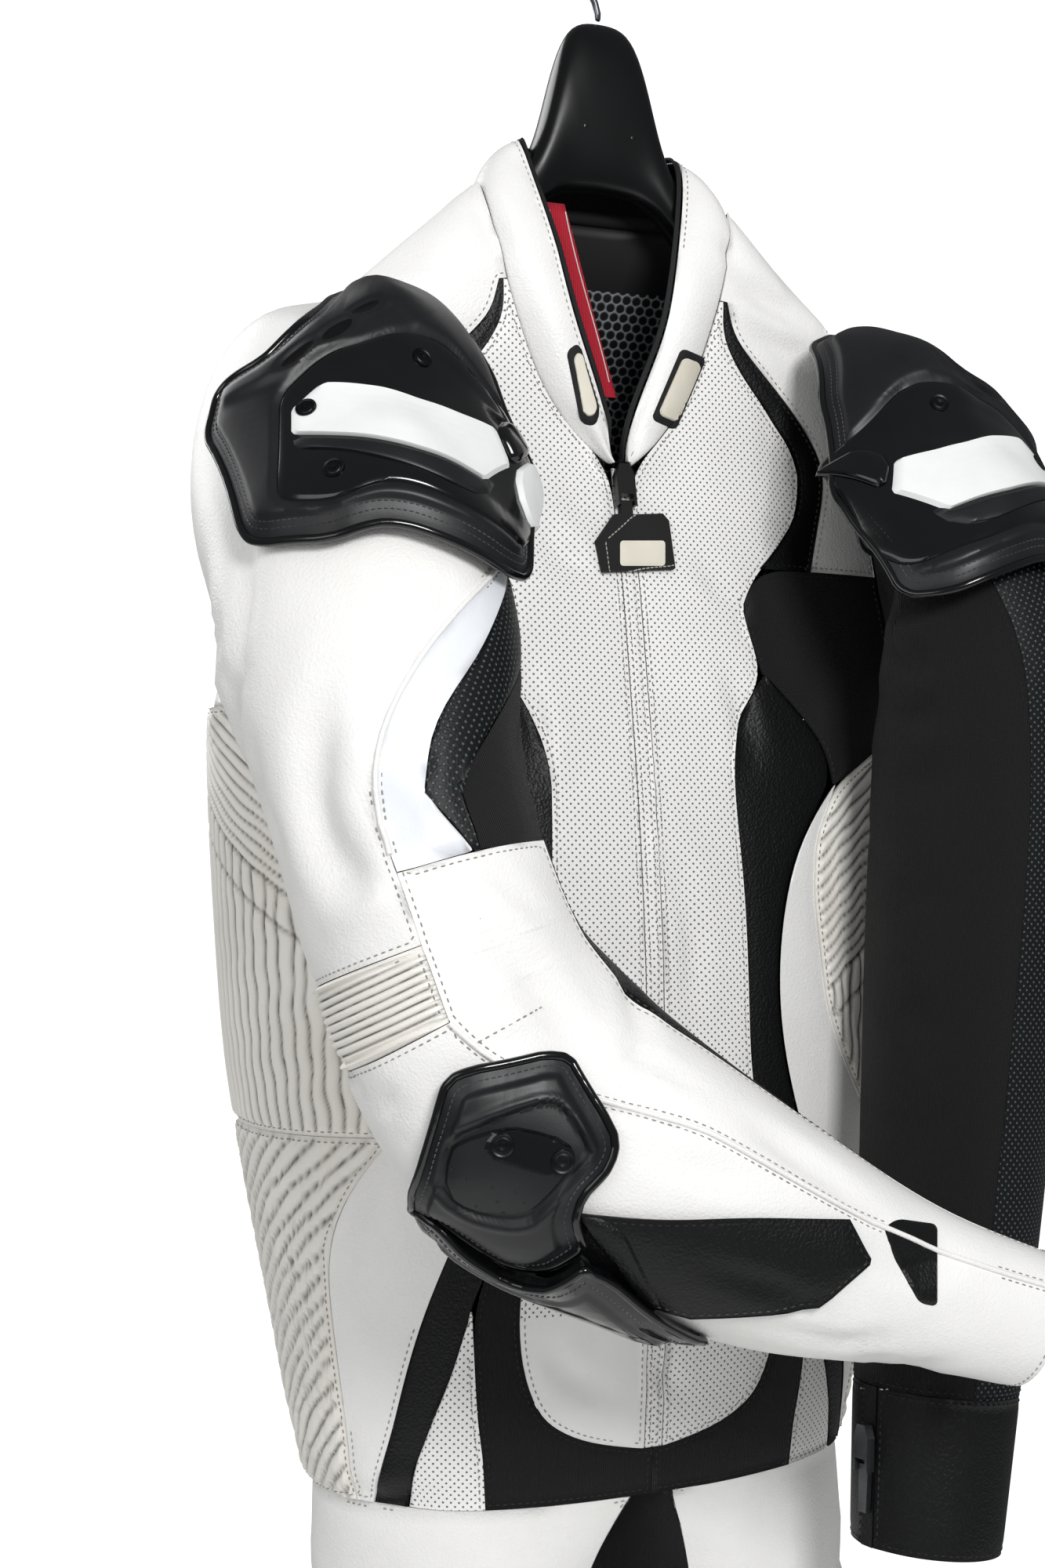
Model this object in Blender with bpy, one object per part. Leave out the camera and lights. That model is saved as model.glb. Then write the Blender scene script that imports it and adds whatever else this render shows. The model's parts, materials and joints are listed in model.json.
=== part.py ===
# A one-piece leather motorcycle race suit hanging on a broad moulded hanger.
# Metres, +Z up. The wearer faces -Y, so the wearer's right side is at -X.
# The origin is the top of the hanger's hook, where a rail carries it.
# Heights in the tables are measured up from the chest line, which lies CHEST_DROP below the origin.
import math

import bmesh
import bpy
import numpy as np
from mathutils import Vector
from mathutils.bvhtree import BVHTree

for leftover in list(bpy.data.objects):
    bpy.data.objects.remove(leftover)

CHEST_DROP = 0.49
LEATHER = 0.002
KNIT = 0.0014
SEAM = 0.0003
ZIP_HALF = 0.005
V_BOTTOM = 0.172
BIB_BOTTOM = -0.350
TORSO_BOTTOM = -0.375
NECK_HEIGHT = 0.325
COLLAR_TOP = 0.354
RING = 96
RIB_HEIGHT = 0.0035
BACK_COLUMNS = 11

# Cross-sections of the body: half width, and where the front, the side and the back lie.
TORSO = (
    # height, half_width, front_y, side_y, back_y
    (-0.375, 0.156, -0.062, 0.030, 0.118),
    (-0.330, 0.166, -0.066, 0.031, 0.124),
    (-0.280, 0.175, -0.069, 0.032, 0.130),
    (-0.220, 0.187, -0.070, 0.032, 0.131),
    (-0.150, 0.199, -0.068, 0.032, 0.131),
    (-0.080, 0.205, -0.065, 0.032, 0.130),
    (0.000, 0.209, -0.056, 0.032, 0.131),
    (0.060, 0.2095, -0.046, 0.031, 0.131),
    (0.110, 0.208, -0.037, 0.028, 0.127),
    (0.160, 0.203, -0.025, 0.022, 0.117),
    (0.200, 0.196, -0.020, 0.016, 0.103),
    (0.235, 0.177, -0.019, 0.009, 0.083),
    (0.262, 0.150, -0.020, 0.004, 0.065),
    (0.285, 0.123, -0.021, 0.002, 0.054),
    (0.305, 0.100, -0.022, 0.001, 0.047),
    (0.325, 0.078, -0.022, 0.000, 0.042),
)
TORSO_SQUARENESS = 2.4

# The armhole lies in a plane turned toward the front and leaning in at the top.
ARMHOLE_YAW = math.radians(42)
ARMHOLE_TILT = math.radians(10)
ARMHOLE_TOP = (0.152, 0.004, 0.260)

# Rows that every body panel shares, so that two panels meet on the same seam points.
TORSO_ROWS = (
    -0.375, -0.350, -0.344, -0.335, -0.325, -0.300, -0.270, -0.240, -0.210, -0.180, -0.150, -0.120, -0.090,
    -0.060, -0.030, 0.0, 0.020, 0.060, 0.080, 0.100, 0.120, 0.145, 0.172, 0.190, 0.212,
    0.233, 0.250, 0.290, 0.308, 0.325,
)

# Seams of the body as height and distance from the middle plane.
NECK_SEAM = ((0.172, 0.0060), (0.178, 0.013), (0.190, 0.027), (0.216, 0.046), (0.262, 0.062),
             (0.294, 0.071), (0.325, 0.0765))
FRONT_SEAM = ((-0.350, 0.0075), (-0.345, 0.035), (-0.335, 0.055), (-0.325, 0.066), (-0.300, 0.075),
              (-0.270, 0.077), (-0.240, 0.073), (-0.210, 0.066), (-0.150, 0.058), (-0.060, 0.057),
              (0.000, 0.054), (0.020, 0.056), (0.040, 0.063), (0.060, 0.078), (0.080, 0.072),
              (0.100, 0.067), (0.120, 0.082), (0.145, 0.110), (0.172, 0.118), (0.190, 0.113),
              (0.212, 0.094), (0.233, 0.076), (0.250, 0.0665), (0.270, 0.0665))
STRIPE_SEAM = ((0.120, 0.118), (0.145, 0.126), (0.172, 0.135), (0.190, 0.131), (0.212, 0.114),
               (0.233, 0.092), (0.250, 0.074), (0.270, 0.0690))
GROIN_SEAM = ((-0.375, 0.090), (-0.350, 0.092), (-0.325, 0.096), (-0.300, 0.098), (-0.270, 0.100),
              (-0.240, 0.090), (-0.210, 0.068))
THIGH_SEAM = ((-0.375, 0.127), (-0.350, 0.124), (-0.325, 0.117), (-0.300, 0.108), (-0.285, 0.102),
              (-0.270, 0.1015))
SIDE_SEAM = ((-0.375, 0.141), (-0.350, 0.138), (-0.300, 0.130), (-0.270, 0.123), (-0.240, 0.112),
             (-0.210, 0.100), (-0.180, 0.089), (-0.150, 0.081), (-0.120, 0.077), (-0.090, 0.078),
             (-0.060, 0.084), (-0.030, 0.096), (0.000, 0.1220), (0.020, 0.1195), (0.040, 0.1015),
             (0.060, 0.0805))
RIB_SEAM = ((-0.375, 0.147), (-0.330, 0.154), (-0.270, 0.163), (-0.240, 0.166), (-0.210, 0.160),
            (-0.180, 0.140), (-0.150, 0.122), (-0.120, 0.110), (-0.060, 0.103), (-0.030, 0.107),
            (0.000, 0.1240))
RIB_BACK = 0.62
HIP_TOP = -0.180


def interp(table, height):
    rows = np.array(table)
    return np.interp(height, rows[:, 0], rows[:, 1])


def unit(vector):
    vector = np.asarray(vector, float)
    return vector / np.linalg.norm(vector, axis=-1, keepdims=True)


def hermite(before, start, end, after, t):
    # Catmull-Rom step between start and end.
    return 0.5 * (2 * start + (end - before) * t
                  + (2 * before - 5 * start + 4 * end - after) * t ** 2
                  + (3 * start - before - 3 * end + after) * t ** 3)


class Tube:
    # A smooth closed tube through rings of points: u runs once round, v along the rings' places.
    def __init__(self, rings, places):
        self.rings = np.array(rings, float)
        self.places = np.array(places, float)
        middle = self.rings.mean(axis=1)
        spot = self.at(np.zeros(1), np.full(1, self.places[1]))
        self.sign = 1.0
        outward = self.normal(np.zeros(1), np.full(1, self.places[1]))
        if np.dot(outward[0], spot[0] - middle[1]) < 0:
            self.sign = -1.0

    def at(self, u, v):
        u, v = np.broadcast_arrays(np.asarray(u, float), np.asarray(v, float))
        last = len(self.places) - 1
        index = np.clip(np.searchsorted(self.places, v, side="right") - 1, 0, last - 1)
        span = self.places[index + 1] - self.places[index]
        t = ((v - self.places[index]) / span)[..., None]
        rows = [self.across(np.clip(index + k, 0, last), u) for k in (-1, 0, 1, 2)]
        before = np.where((index == 0)[..., None], 2 * rows[1] - rows[2], rows[0])
        after = np.where((index == last - 1)[..., None], 2 * rows[2] - rows[1], rows[3])
        return hermite(before, rows[1], rows[2], after, t)

    def across(self, row, u):
        count = self.rings.shape[1]
        place = (u % 1.0) * count
        start = np.floor(place).astype(int)
        t = (place - start)[..., None]
        four = [self.rings[row, (start + k) % count] for k in (-1, 0, 1, 2)]
        return hermite(*four, t)

    def slopes(self, u, v):
        step_u, step_v = 0.002, 0.01 * (self.places[-1] - self.places[0]) / len(self.places)
        low = np.maximum(v - step_v, self.places[0])
        high = np.minimum(v + step_v, self.places[-1])
        along_u = (self.at(u + step_u, v) - self.at(u - step_u, v)) / (2 * step_u)
        along_v = (self.at(u, high) - self.at(u, low)) / (high - low)[..., None]
        return along_u, along_v

    def normal(self, u, v):
        along_u, along_v = self.slopes(u, v)
        return self.sign * unit(np.cross(along_u, along_v))


def section_columns(table, height):
    rows = np.array(table)
    last = len(rows) - 1
    index = int(np.clip(np.searchsorted(rows[:, 0], height, side="right") - 1, 0, last - 1))
    t = (height - rows[index, 0]) / (rows[index + 1, 0] - rows[index, 0])
    before = rows[max(index - 1, 0), 1:]
    after = rows[min(index + 2, last), 1:]
    return hermite(before, rows[index, 1:], rows[index + 1, 1:], after, t)


def even_arc(points, count):
    steps = np.linalg.norm(np.diff(points, axis=0), axis=1)
    run = np.concatenate([[0], np.cumsum(steps)])
    wanted = np.linspace(0, run[-1], count)
    return np.stack([np.interp(wanted, run, points[:, k]) for k in range(points.shape[1])], 1)


def torso_ring(height):
    # One body section: an even run from the front middle round the left side to the back, and home.
    half, front, side, back = section_columns(TORSO, height)
    power = 2 / TORSO_SQUARENESS
    turn = np.linspace(0, math.pi / 2, 90)
    over = half * np.sin(turn) ** power
    fore = np.stack([over, side - (side - front) * np.cos(turn) ** power], 1)
    aft = np.stack([over, side + (back - side) * np.cos(turn) ** power], 1)[::-1]
    quarter = RING // 4 + 1
    left = np.concatenate([even_arc(fore, quarter), even_arc(aft, quarter)[1:]])
    right = left[1:-1][::-1] * (-1, 1)
    ring = np.concatenate([left, right])
    return np.column_stack([ring, np.full(len(ring), height)])


def make_torso():
    places = np.arange(-0.375, NECK_HEIGHT + 0.0005, 0.0125)
    return Tube([torso_ring(height) for height in places], places)


def torso_u(height, distance):
    # The place round the front half of a section that lies this far from the middle plane.
    u = np.linspace(0, 0.25, 400)
    x = body.at(u, np.full(400, height))[:, 0]
    return float(np.interp(distance, x, u))


def armhole_plane():
    normal = np.array([math.cos(ARMHOLE_YAW) * math.cos(ARMHOLE_TILT),
                       -math.sin(ARMHOLE_YAW) * math.cos(ARMHOLE_TILT), math.sin(ARMHOLE_TILT)])
    return normal, float(normal @ np.array(ARMHOLE_TOP))


def armhole_reach(height):
    # How far a section reaches past the armhole plane, and where round the section.
    u = np.linspace(0.05, 0.45, 600)
    past = body.at(u, np.full(600, height)) @ armhole_normal - armhole_offset
    return past.max(), float(u[past.argmax()]), u, past


def armhole_limit(inside, outside):
    for _ in range(40):
        middle = (inside + outside) / 2
        if armhole_reach(middle)[0] < 0:
            inside = middle
        else:
            outside = middle
    return inside


def armhole_sides(height):
    # Where a section crosses the armhole plane, in front and behind.
    deepest, peak, u, past = armhole_reach(height)
    if deepest <= 0:
        return peak, peak
    first = int(np.argmax(past > 0))
    last = len(past) - 1 - int(np.argmax(past[::-1] > 0))
    front = np.interp(0, past[first - 1:first + 1], u[first - 1:first + 1])
    rear = np.interp(0, -past[last:last + 2], u[last:last + 2])
    return float(front), float(rear)


def armhole_ring(count):
    # From the top down the front to the lowest point, and up the back.
    heights = np.linspace(under_height, top_height, 60)
    fore, aft = [], []
    for height in heights:
        front, rear = armhole_sides(height)
        fore.append(body.at(front, height))
        aft.append(body.at(rear, height))
    down = even_arc(np.array(fore[::-1]), count // 2 + 1)
    up = even_arc(np.array(aft), count // 2 + 1)
    return np.concatenate([down, up[1:-1]])


def torso_rows(low, high):
    inner = [row for row in all_rows if low + 1e-6 < row < high - 1e-6]
    return [low] + inner + [high]


def grid_mesh(outer, inner):
    # A closed wall between two grids of points that have the same rows and columns.
    rows, columns = outer.shape[:2]
    vertices = [tuple(p) for p in outer.reshape(-1, 3)] + [tuple(p) for p in inner.reshape(-1, 3)]
    half = rows * columns

    def spot(row, column):
        return row * columns + column

    faces = []
    for row in range(rows - 1):
        for column in range(columns - 1):
            quad = (spot(row, column), spot(row, column + 1),
                    spot(row + 1, column + 1), spot(row + 1, column))
            faces.append(quad)
            faces.append(tuple(half + k for k in reversed(quad)))
    edge = [spot(0, c) for c in range(columns)]
    edge += [spot(r, columns - 1) for r in range(1, rows)]
    edge += [spot(rows - 1, c) for c in range(columns - 2, -1, -1)]
    edge += [spot(r, 0) for r in range(rows - 2, 0, -1)]
    for here, there in zip(edge, edge[1:] + edge[:1]):
        faces.append((there, here, half + here, half + there))
    return vertices, faces


def add_object(name, vertices, faces, material, smooth=True):
    mesh = bpy.data.meshes.new(name)
    mesh.from_pydata([(x, y, z) for x, y, z in vertices], [], faces)
    edit = bmesh.new()
    edit.from_mesh(mesh)
    if edit.calc_volume(signed=True) < 0:
        bmesh.ops.reverse_faces(edit, faces=edit.faces)
    edit.to_mesh(mesh)
    edit.free()
    if smooth:
        mesh.shade_smooth()
        mesh.set_sharp_from_angle(angle=math.radians(40))
    mesh.materials.append(material)
    thing = bpy.data.objects.new(name, mesh)
    bpy.context.scene.collection.objects.link(thing)
    return thing


def lowered(points):
    return np.asarray(points, float) - (0, 0, CHEST_DROP)


def mirrored(points):
    return np.asarray(points, float) * (-1, 1, 1)


def wall_grids(tube, rows, left, right, columns, wall, relief=None, plane=None, lift=0.0,
               end_gaps=(True, True)):
    # Outer and inner points of a strip between two seams, drawn back by half a seam all round.
    outer, inner = [], []
    for index, row in enumerate(rows):
        place = row
        if index == 0 and end_gaps[0]:
            place = row + row_step(tube, row)
        if index == len(rows) - 1 and end_gaps[1]:
            place = row - row_step(tube, row)
        start, stop = left(row), right(row)
        ends = np.array([start, stop])
        slope = np.linalg.norm(tube.slopes(ends, np.full(2, place))[0], axis=1)
        start += SEAM / 2 / slope[0]
        stop -= SEAM / 2 / slope[1]
        u = np.linspace(start, stop, columns)
        v = np.full(columns, place)
        surface, normal = tube.at(u, v), tube.normal(u, v)
        if plane is not None and index == 0:
            # The wall's first edge lies in this plane.
            normal = unit(np.cross(tube.slopes(u, v)[0], plane))
            outward = surface - tube.rings[0].mean(axis=0)
            normal *= np.sign(np.sum(normal * outward, axis=1))[:, None]
        raised = np.zeros(columns) if relief is None else relief(index, u)
        outer.append(surface + normal * (raised + lift)[:, None])
        inner.append(surface - normal * (wall - lift))
    return np.array(outer), np.array(inner)


def row_step(tube, place):
    u = np.linspace(0, 0.95, 20)
    inside = np.clip(place, tube.places[0] + 1e-4, tube.places[-1] - 1e-4)
    slope = np.linalg.norm(tube.slopes(u, np.full(20, inside))[1], axis=1)
    return SEAM / 2 / slope.mean()


def torso_panel(name, low, high, left, right, columns, material, wall=LEATHER, relief=None,
                sides=("left", "right"), rows=None):
    rows = rows or torso_rows(low, high)
    outer, inner = wall_grids(body, rows, left, right, columns, wall, relief)
    vertices, faces = grid_mesh(lowered(outer), lowered(inner))
    for side in sides:
        points = vertices if side == "left" else mirrored(vertices)
        title = f"{name}_{side}" if len(sides) == 2 else name
        add_object(title, points, faces, material)
    return outer, inner


def seam(table):
    return lambda height: torso_u(height, interp(table, height))


def front_of_armhole(height):
    if height >= top_height - 1e-6:
        return shoulder_line(height)
    if height <= under_height + 1e-6:
        return underarm_line(height)
    return armhole_sides(height)[0]


def back_of_armhole(height):
    if height >= top_height - 1e-6:
        return shoulder_line(height)
    return armhole_sides(height)[1]


def shoulder_line(height):
    peak = armhole_reach(top_height)[1]
    return float(np.interp(height, (top_height, 0.300), (peak, 0.25)))


def underarm_line(height):
    peak = armhole_reach(under_height)[1]
    foot = torso_u(0.0, 0.1240)
    return float(np.interp(height, (0.0, under_height), (foot, peak)))


def rib_front(height):
    if height >= 0.0:
        return underarm_line(height)
    return torso_u(height, interp(RIB_SEAM, height))


def rib_rear(height):
    return RIB_BACK / 2


def upright_ribs(columns, rows):
    def relief(index, u):
        crest = np.arange(columns) % 2 == 1
        fade = min(1.0, index / 1.5, (rows - 1 - index) / 1.5)
        return crest * RIB_HEIGHT * fade
    return relief


def slanting_ribs(columns, rows):
    def relief(index, u):
        crest = (np.arange(columns) + index) % 3 == 0
        sides = np.minimum(np.arange(columns), columns - 1 - np.arange(columns)) > 0
        return crest * sides * RIB_HEIGHT * (0 < index < rows - 1)
    return relief


def make_material(name, colour, roughness, metallic=0.0):
    material = bpy.data.materials.new(name)
    material.use_nodes = True
    shader = material.node_tree.nodes["Principled BSDF"]
    shader.inputs["Base Color"].default_value = (*colour, 1)
    shader.inputs["Roughness"].default_value = roughness
    shader.inputs["Metallic"].default_value = metallic
    material.diffuse_color = (*colour, 1)
    return material


def make_body_panels():
    zip_edge = lambda height: torso_u(height, ZIP_HALF + 0.0003)

    def front_inner(height):
        return zip_edge(height) if height < V_BOTTOM else torso_u(height, interp(NECK_SEAM, height))

    def yoke_inner(height):
        if height > 0.2702:
            return torso_u(height, interp(NECK_SEAM, height))
        return torso_u(height, interp(STRIPE_SEAM, height))

    def groin_inner(height):
        return 0.0 if height < BIB_BOTTOM - 0.0002 else seam(FRONT_SEAM)(height)

    torso_panel("front", BIB_BOTTOM, 0.270, front_inner, seam(FRONT_SEAM), 4, WHITE)
    torso_panel("shoulder_stripe", 0.120, 0.270, seam(FRONT_SEAM), seam(STRIPE_SEAM), 3, BLACK)
    yoke_rows = torso_rows(0.120, NECK_HEIGHT) + [0.270, 0.2706]
    torso_panel("yoke", 0.120, NECK_HEIGHT, yoke_inner, front_of_armhole, 4, WHITE,
                rows=sorted(set(yoke_rows)))
    torso_panel("chest_stretch", 0.0, 0.120,
                lambda h: seam(FRONT_SEAM if h > 0.0602 else SIDE_SEAM)(h),
                front_of_armhole, 4, KNIT_BLACK, wall=KNIT,
                rows=sorted(torso_rows(0.0, 0.120) + [0.0606]))
    torso_panel("side_panel", -0.375, 0.060, side_inner, seam(SIDE_SEAM), 3, BLACK)
    torso_panel("side_white", -0.375, 0.0, seam(SIDE_SEAM), rib_front, 3, WHITE)
    rows = torso_rows(HIP_TOP, under_height)
    torso_panel("flank_accordion", HIP_TOP, under_height, rib_front, rib_rear, 25, WHITE,
                relief=upright_ribs(25, len(rows)))
    rows = torso_rows(-0.375, HIP_TOP)
    torso_panel("hip_accordion", -0.375, HIP_TOP, rib_front, rib_rear, 17, WHITE,
                relief=slanting_ribs(17, len(rows)))
    torso_panel("groin_stretch", -0.375, -0.210, groin_inner, seam(GROIN_SEAM), 5, KNIT_BLACK,
                wall=KNIT, rows=sorted(torso_rows(-0.375, -0.210) + [BIB_BOTTOM - 0.0006]))
    torso_panel("thigh_inset", -0.375, -0.270, seam(GROIN_SEAM), seam(THIGH_SEAM), 3, WHITE)
    torso_panel("lower_back", -0.375, under_height, rib_rear, lambda h: 1 - rib_rear(h), 9, WHITE,
                sides=("left",))
    torso_panel("upper_back", under_height, NECK_HEIGHT, back_of_armhole,
                lambda h: 1 - back_of_armhole(h), BACK_COLUMNS, WHITE, sides=("left",))
    # The flap that covers the front zip.
    torso_panel("front_zip", BIB_BOTTOM, V_BOTTOM, lambda h: -torso_u(h, ZIP_HALF),
                lambda h: torso_u(h, ZIP_HALF), 3, WHITE, sides=("left",))


def side_inner(height):
    if height <= -0.270:
        return seam(THIGH_SEAM)(height)
    if height <= -0.210:
        return seam(GROIN_SEAM)(height)
    return seam(FRONT_SEAM)(height)


# Sleeve sections after the armhole: centre, the way the sleeve runs, its outer side, and half sizes.
RIGHT_SLEEVE = (
    # x, y, height, run_x, run_y, run_z, out_x, out_y, out_z, half_out, half_across
    (-0.191, -0.038, 0.1415, -0.80, -0.58, -0.12, -0.05, 0.06, 0.98, 0.095, 0.063),
    (-0.176, -0.084, 0.1100, -0.42, -0.80, -0.36, -0.22, -0.12, 0.96, 0.077, 0.073),
    (-0.172, -0.108, 0.056, -0.05, -0.55, -0.80, -0.65, -0.55, 0.45, 0.069, 0.074),
    (-0.167, -0.132, 0.000, 0.18, -0.30, -0.93, -0.75, -0.55, 0.10, 0.061, 0.064),
    (-0.153, -0.150, -0.070, 0.26, -0.22, -0.94, -0.78, -0.50, -0.20, 0.062, 0.062),
    (-0.122, -0.166, -0.135, 0.62, -0.25, -0.74, -0.60, -0.42, -0.68, 0.076, 0.061),
    (-0.062, -0.184, -0.178, 0.90, -0.25, -0.37, -0.35, -0.50, -0.79, 0.066, 0.062),
    (0.001, -0.200, -0.2145, 0.92, -0.20, -0.36, -0.30, -0.45, -0.84, 0.055, 0.054),
    (0.066, -0.212, -0.240, 0.93, -0.17, -0.33, -0.25, -0.45, -0.85, 0.039, 0.039),
    (0.125, -0.222, -0.260, 0.93, -0.17, -0.33, -0.25, -0.45, -0.85, 0.034, 0.034),
)
LEFT_SLEEVE = (
    # x, y, height, run_x, run_y, run_z, out_x, out_y, out_z, half_out, half_across
    (0.191, -0.038, 0.1415, 0.80, -0.58, -0.12, 0.05, 0.06, 0.98, 0.095, 0.063),
    (0.179, -0.084, 0.1100, 0.42, -0.80, -0.36, 0.22, -0.12, 0.96, 0.077, 0.073),
    (0.182, -0.104, 0.054, 0.16, -0.50, -0.80, 0.65, -0.50, 0.45, 0.068, 0.068),
    (0.178, -0.104, 0.000, -0.04, -0.08, -1.00, 0.80, -0.50, 0.10, 0.060, 0.060),
    (0.167, -0.107, -0.100, -0.10, -0.03, -1.00, 0.85, -0.45, 0.00, 0.056, 0.056),
    (0.155, -0.112, -0.210, -0.12, -0.04, -1.00, 0.85, -0.45, 0.00, 0.051, 0.051),
    (0.142, -0.118, -0.310, -0.13, -0.05, -1.00, 0.85, -0.45, 0.00, 0.046, 0.046),
    (0.130, -0.125, -0.400, -0.13, -0.05, -1.00, 0.85, -0.45, 0.00, 0.041, 0.041),
)
SLEEVE_RING = 32
# A seam that crosses the folds under the arm gets more room, as a share of the way round.
WIDE_SEAM = 0.002

# Leg sections below the body: centre and half sizes.
LEG = (
    # x, y, height, half_x, half_y
    (0.0815, 0.027, -0.440, 0.0765, 0.084),
    (0.0880, 0.018, -0.560, 0.0740, 0.077),
    (0.0920, 0.000, -0.700, 0.0680, 0.070),
    (0.0930, 0.004, -0.800, 0.0640, 0.066),
    (0.0930, 0.026, -0.920, 0.0600, 0.062),
    (0.0920, 0.040, -1.060, 0.0480, 0.050),
)


def section_ring(centre, run, out, half_out, half_across, side, count, turn=0.0):
    run = unit(run)
    out = unit(np.array(out) - run * np.dot(out, run))
    fore = side * np.cross(run, out)
    angle = np.linspace(0, 2 * math.pi, count, endpoint=False)[:, None] + turn
    return np.array(centre) + out * np.cos(angle) * half_out + fore * np.sin(angle) * half_across


def make_sleeve(table, side):
    start = armhole_ring(SLEEVE_RING) + armhole_normal * SEAM
    rings = [start if side > 0 else mirrored(start)]
    for row in table:
        rings.append(section_ring(row[:3], row[3:6], row[6:9], row[9], row[10], side, SLEEVE_RING))
    return Tube(rings, np.arange(len(rings)))


def sleeve_panel(name, tube, side, rows, left, right, columns, material, wall=LEATHER, relief=None):
    at_armhole = rows[0] == 0
    plane = armhole_normal * (side, 1, 1) if at_armhole else None
    outer, inner = wall_grids(tube, rows, left, right, columns, wall, relief, plane,
                              end_gaps=(not at_armhole, True))
    vertices, faces = grid_mesh(lowered(outer), lowered(inner))
    return add_object(name, vertices, faces, material)


def rows_between(low, high, step):
    count = max(1, round((high - low) / step))
    return np.linspace(low, high, count + 1)


def line(*pairs):
    table = np.array(pairs)
    return lambda place: float(np.interp(place, table[:, 0], table[:, 1]))


def rows_in(rows, low, high):
    return [row for row in rows if low - 1e-6 <= row <= high + 1e-6]


# Places along the right sleeve where its panels end, and the pleats of its elbow.
INNER_END = 4.65
PLEATS_START = 5.05
PLEATS_END = 5.45
PLEAT_COUNT = 8
RIGHT_ROWS = ([INNER_END * k / 12 for k in range(13)] + [4.85]
              + [PLEATS_START + (PLEATS_END - PLEATS_START) * k / (2 * PLEAT_COUNT)
                 for k in range(2 * PLEAT_COUNT + 1)]
              + [5.75, 6.1, 6.5, 6.9, 7.3, 7.7, 8.1, 8.5, 9.0, 9.5, 10.0])
# Seams as place along the sleeve and share of the way round it.
RIGHT_MAIN = ((0, 0.20), (1, 0.22), (2, 0.245), (2.65, 0.233), (3.29, 0.158), (3.65, 0.090),
              (3.97, 0.061), (4.31, 0.057), (4.65, 0.078), (5.05, 0.090), (5.45, 0.113),
              (5.75, 0.150), (6.2, 0.200), (7, 0.235), (8, 0.250), (10, 0.270))
RIGHT_PEARL = ((0, 0.21), (2, 0.258), (2.77, 0.250), (3.47, 0.201), (3.91, 0.124), (4.17, 0.114),
               (4.41, 0.126), (4.65, 0.171))
RIGHT_INNER = ((0, 0.38), (3, 0.33), (3.7, 0.275), (4.0, 0.200), (4.33, 0.150), (4.65, 0.178))
RIGHT_CROOK = ((4.65, 0.30), (5.2, 0.335), (5.8, 0.350), (6.5, 0.345), (7.3, 0.370), (8, 0.400),
               (10, 0.420))
RIGHT_STRIP = ((4.65, 0.44), (10, 0.47))
RIGHT_BACK = ((0, 0.62), (2, 0.62), (4, 0.60), (10, 0.60))


def make_right_sleeve(tube):
    def seam_of(table):
        return lambda place: interp(table, place)

    def add(title, low, high, left, right, columns, material, wall=LEATHER, relief=None):
        rows = rows_in(RIGHT_ROWS, low, high)
        sleeve_panel(f"right_{title}", tube, -1, rows, left, right, columns, material, wall, relief)

    main, back = seam_of(RIGHT_MAIN), seam_of(RIGHT_BACK)
    pearl, inner = seam_of(RIGHT_PEARL), seam_of(RIGHT_INNER)
    crook, strip = seam_of(RIGHT_CROOK), seam_of(RIGHT_STRIP)
    wrap = lambda place: back(place) - 1

    def pleats(index, u):
        fade = np.clip(np.minimum(u - u[0], u[-1] - u) / 0.06, 0, 1)
        return (index % 2) * RIB_HEIGHT * fade

    add("sleeve_outer", 0, PLEATS_START, wrap, main, 11, WHITE)
    add("elbow_accordion", PLEATS_START, PLEATS_END, wrap, main, 9, WHITE, relief=pleats)
    add("forearm", PLEATS_END, 10, wrap, main, 11, WHITE)
    add("sleeve_pearl", 0, INNER_END, main, pearl, 2, PEARL)
    add("sleeve_inner", 0, INNER_END, pearl, inner, 4, BLACK)
    add("sleeve_stretch", 0, INNER_END, inner, lambda place: back(place) - WIDE_SEAM, 6, KNIT_BLACK,
        wall=KNIT)
    add("forearm_crook", INNER_END, 10, main, crook, 4, WHITE)
    add("forearm_strip", INNER_END, 10, crook, strip, 3, BLACK)
    add("forearm_back", INNER_END, 10, strip, back, 4, KNIT_BLACK, wall=KNIT)


# The dark band on the forearm, pointed at both ends: place, lower edge and upper edge.
BAND = ((6.62, 0.088, 0.094), (6.90, 0.050, 0.115), (7.15, 0.008, 0.140), (7.40, 0.022, 0.168),
        (7.75, 0.068, 0.203), (8.10, 0.112, 0.236), (8.32, 0.190, 0.200))
BAND_LIFT = 0.0024


def make_forearm_band(tube):
    low = lambda place: interp([row[:2] for row in BAND], place)
    high = lambda place: interp([(row[0], row[2]) for row in BAND], place)
    outer, inner = wall_grids(tube, [row[0] for row in BAND], low, high, 5, KNIT, lift=BAND_LIFT)
    vertices, faces = grid_mesh(lowered(outer), lowered(inner))
    add_object("right_forearm_band", vertices, faces, BLACK)


def make_left_sleeve(tube):
    rows = rows_between(0, 7.1, 0.40)
    edge = line((0, 0.16), (8, 0.20))
    knit = line((0, 0.62), (8, 0.58))
    wrap = lambda place: knit(place) - 1
    sleeve_panel("left_sleeve_outer", tube, 1, rows, wrap, edge, 11, BLACK)
    sleeve_panel("left_sleeve_stretch", tube, 1, rows, edge, lambda place: knit(place) - WIDE_SEAM, 7,
                 KNIT_BLACK, wall=KNIT)
    cuff = rows_between(7.1, 8, 0.30)
    start, stop = CUFF_HINGE[0] - CUFF_ZIP / 2, CUFF_HINGE[0] + CUFF_ZIP / 2
    sleeve_panel("left_cuff", tube, 1, cuff, lambda v: stop, lambda v: 1 + start, 16, BLACK)
    sleeve_panel("left_cuff_zip", tube, 1, cuff, lambda v: start, lambda v: stop, 2, STEEL)


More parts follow.
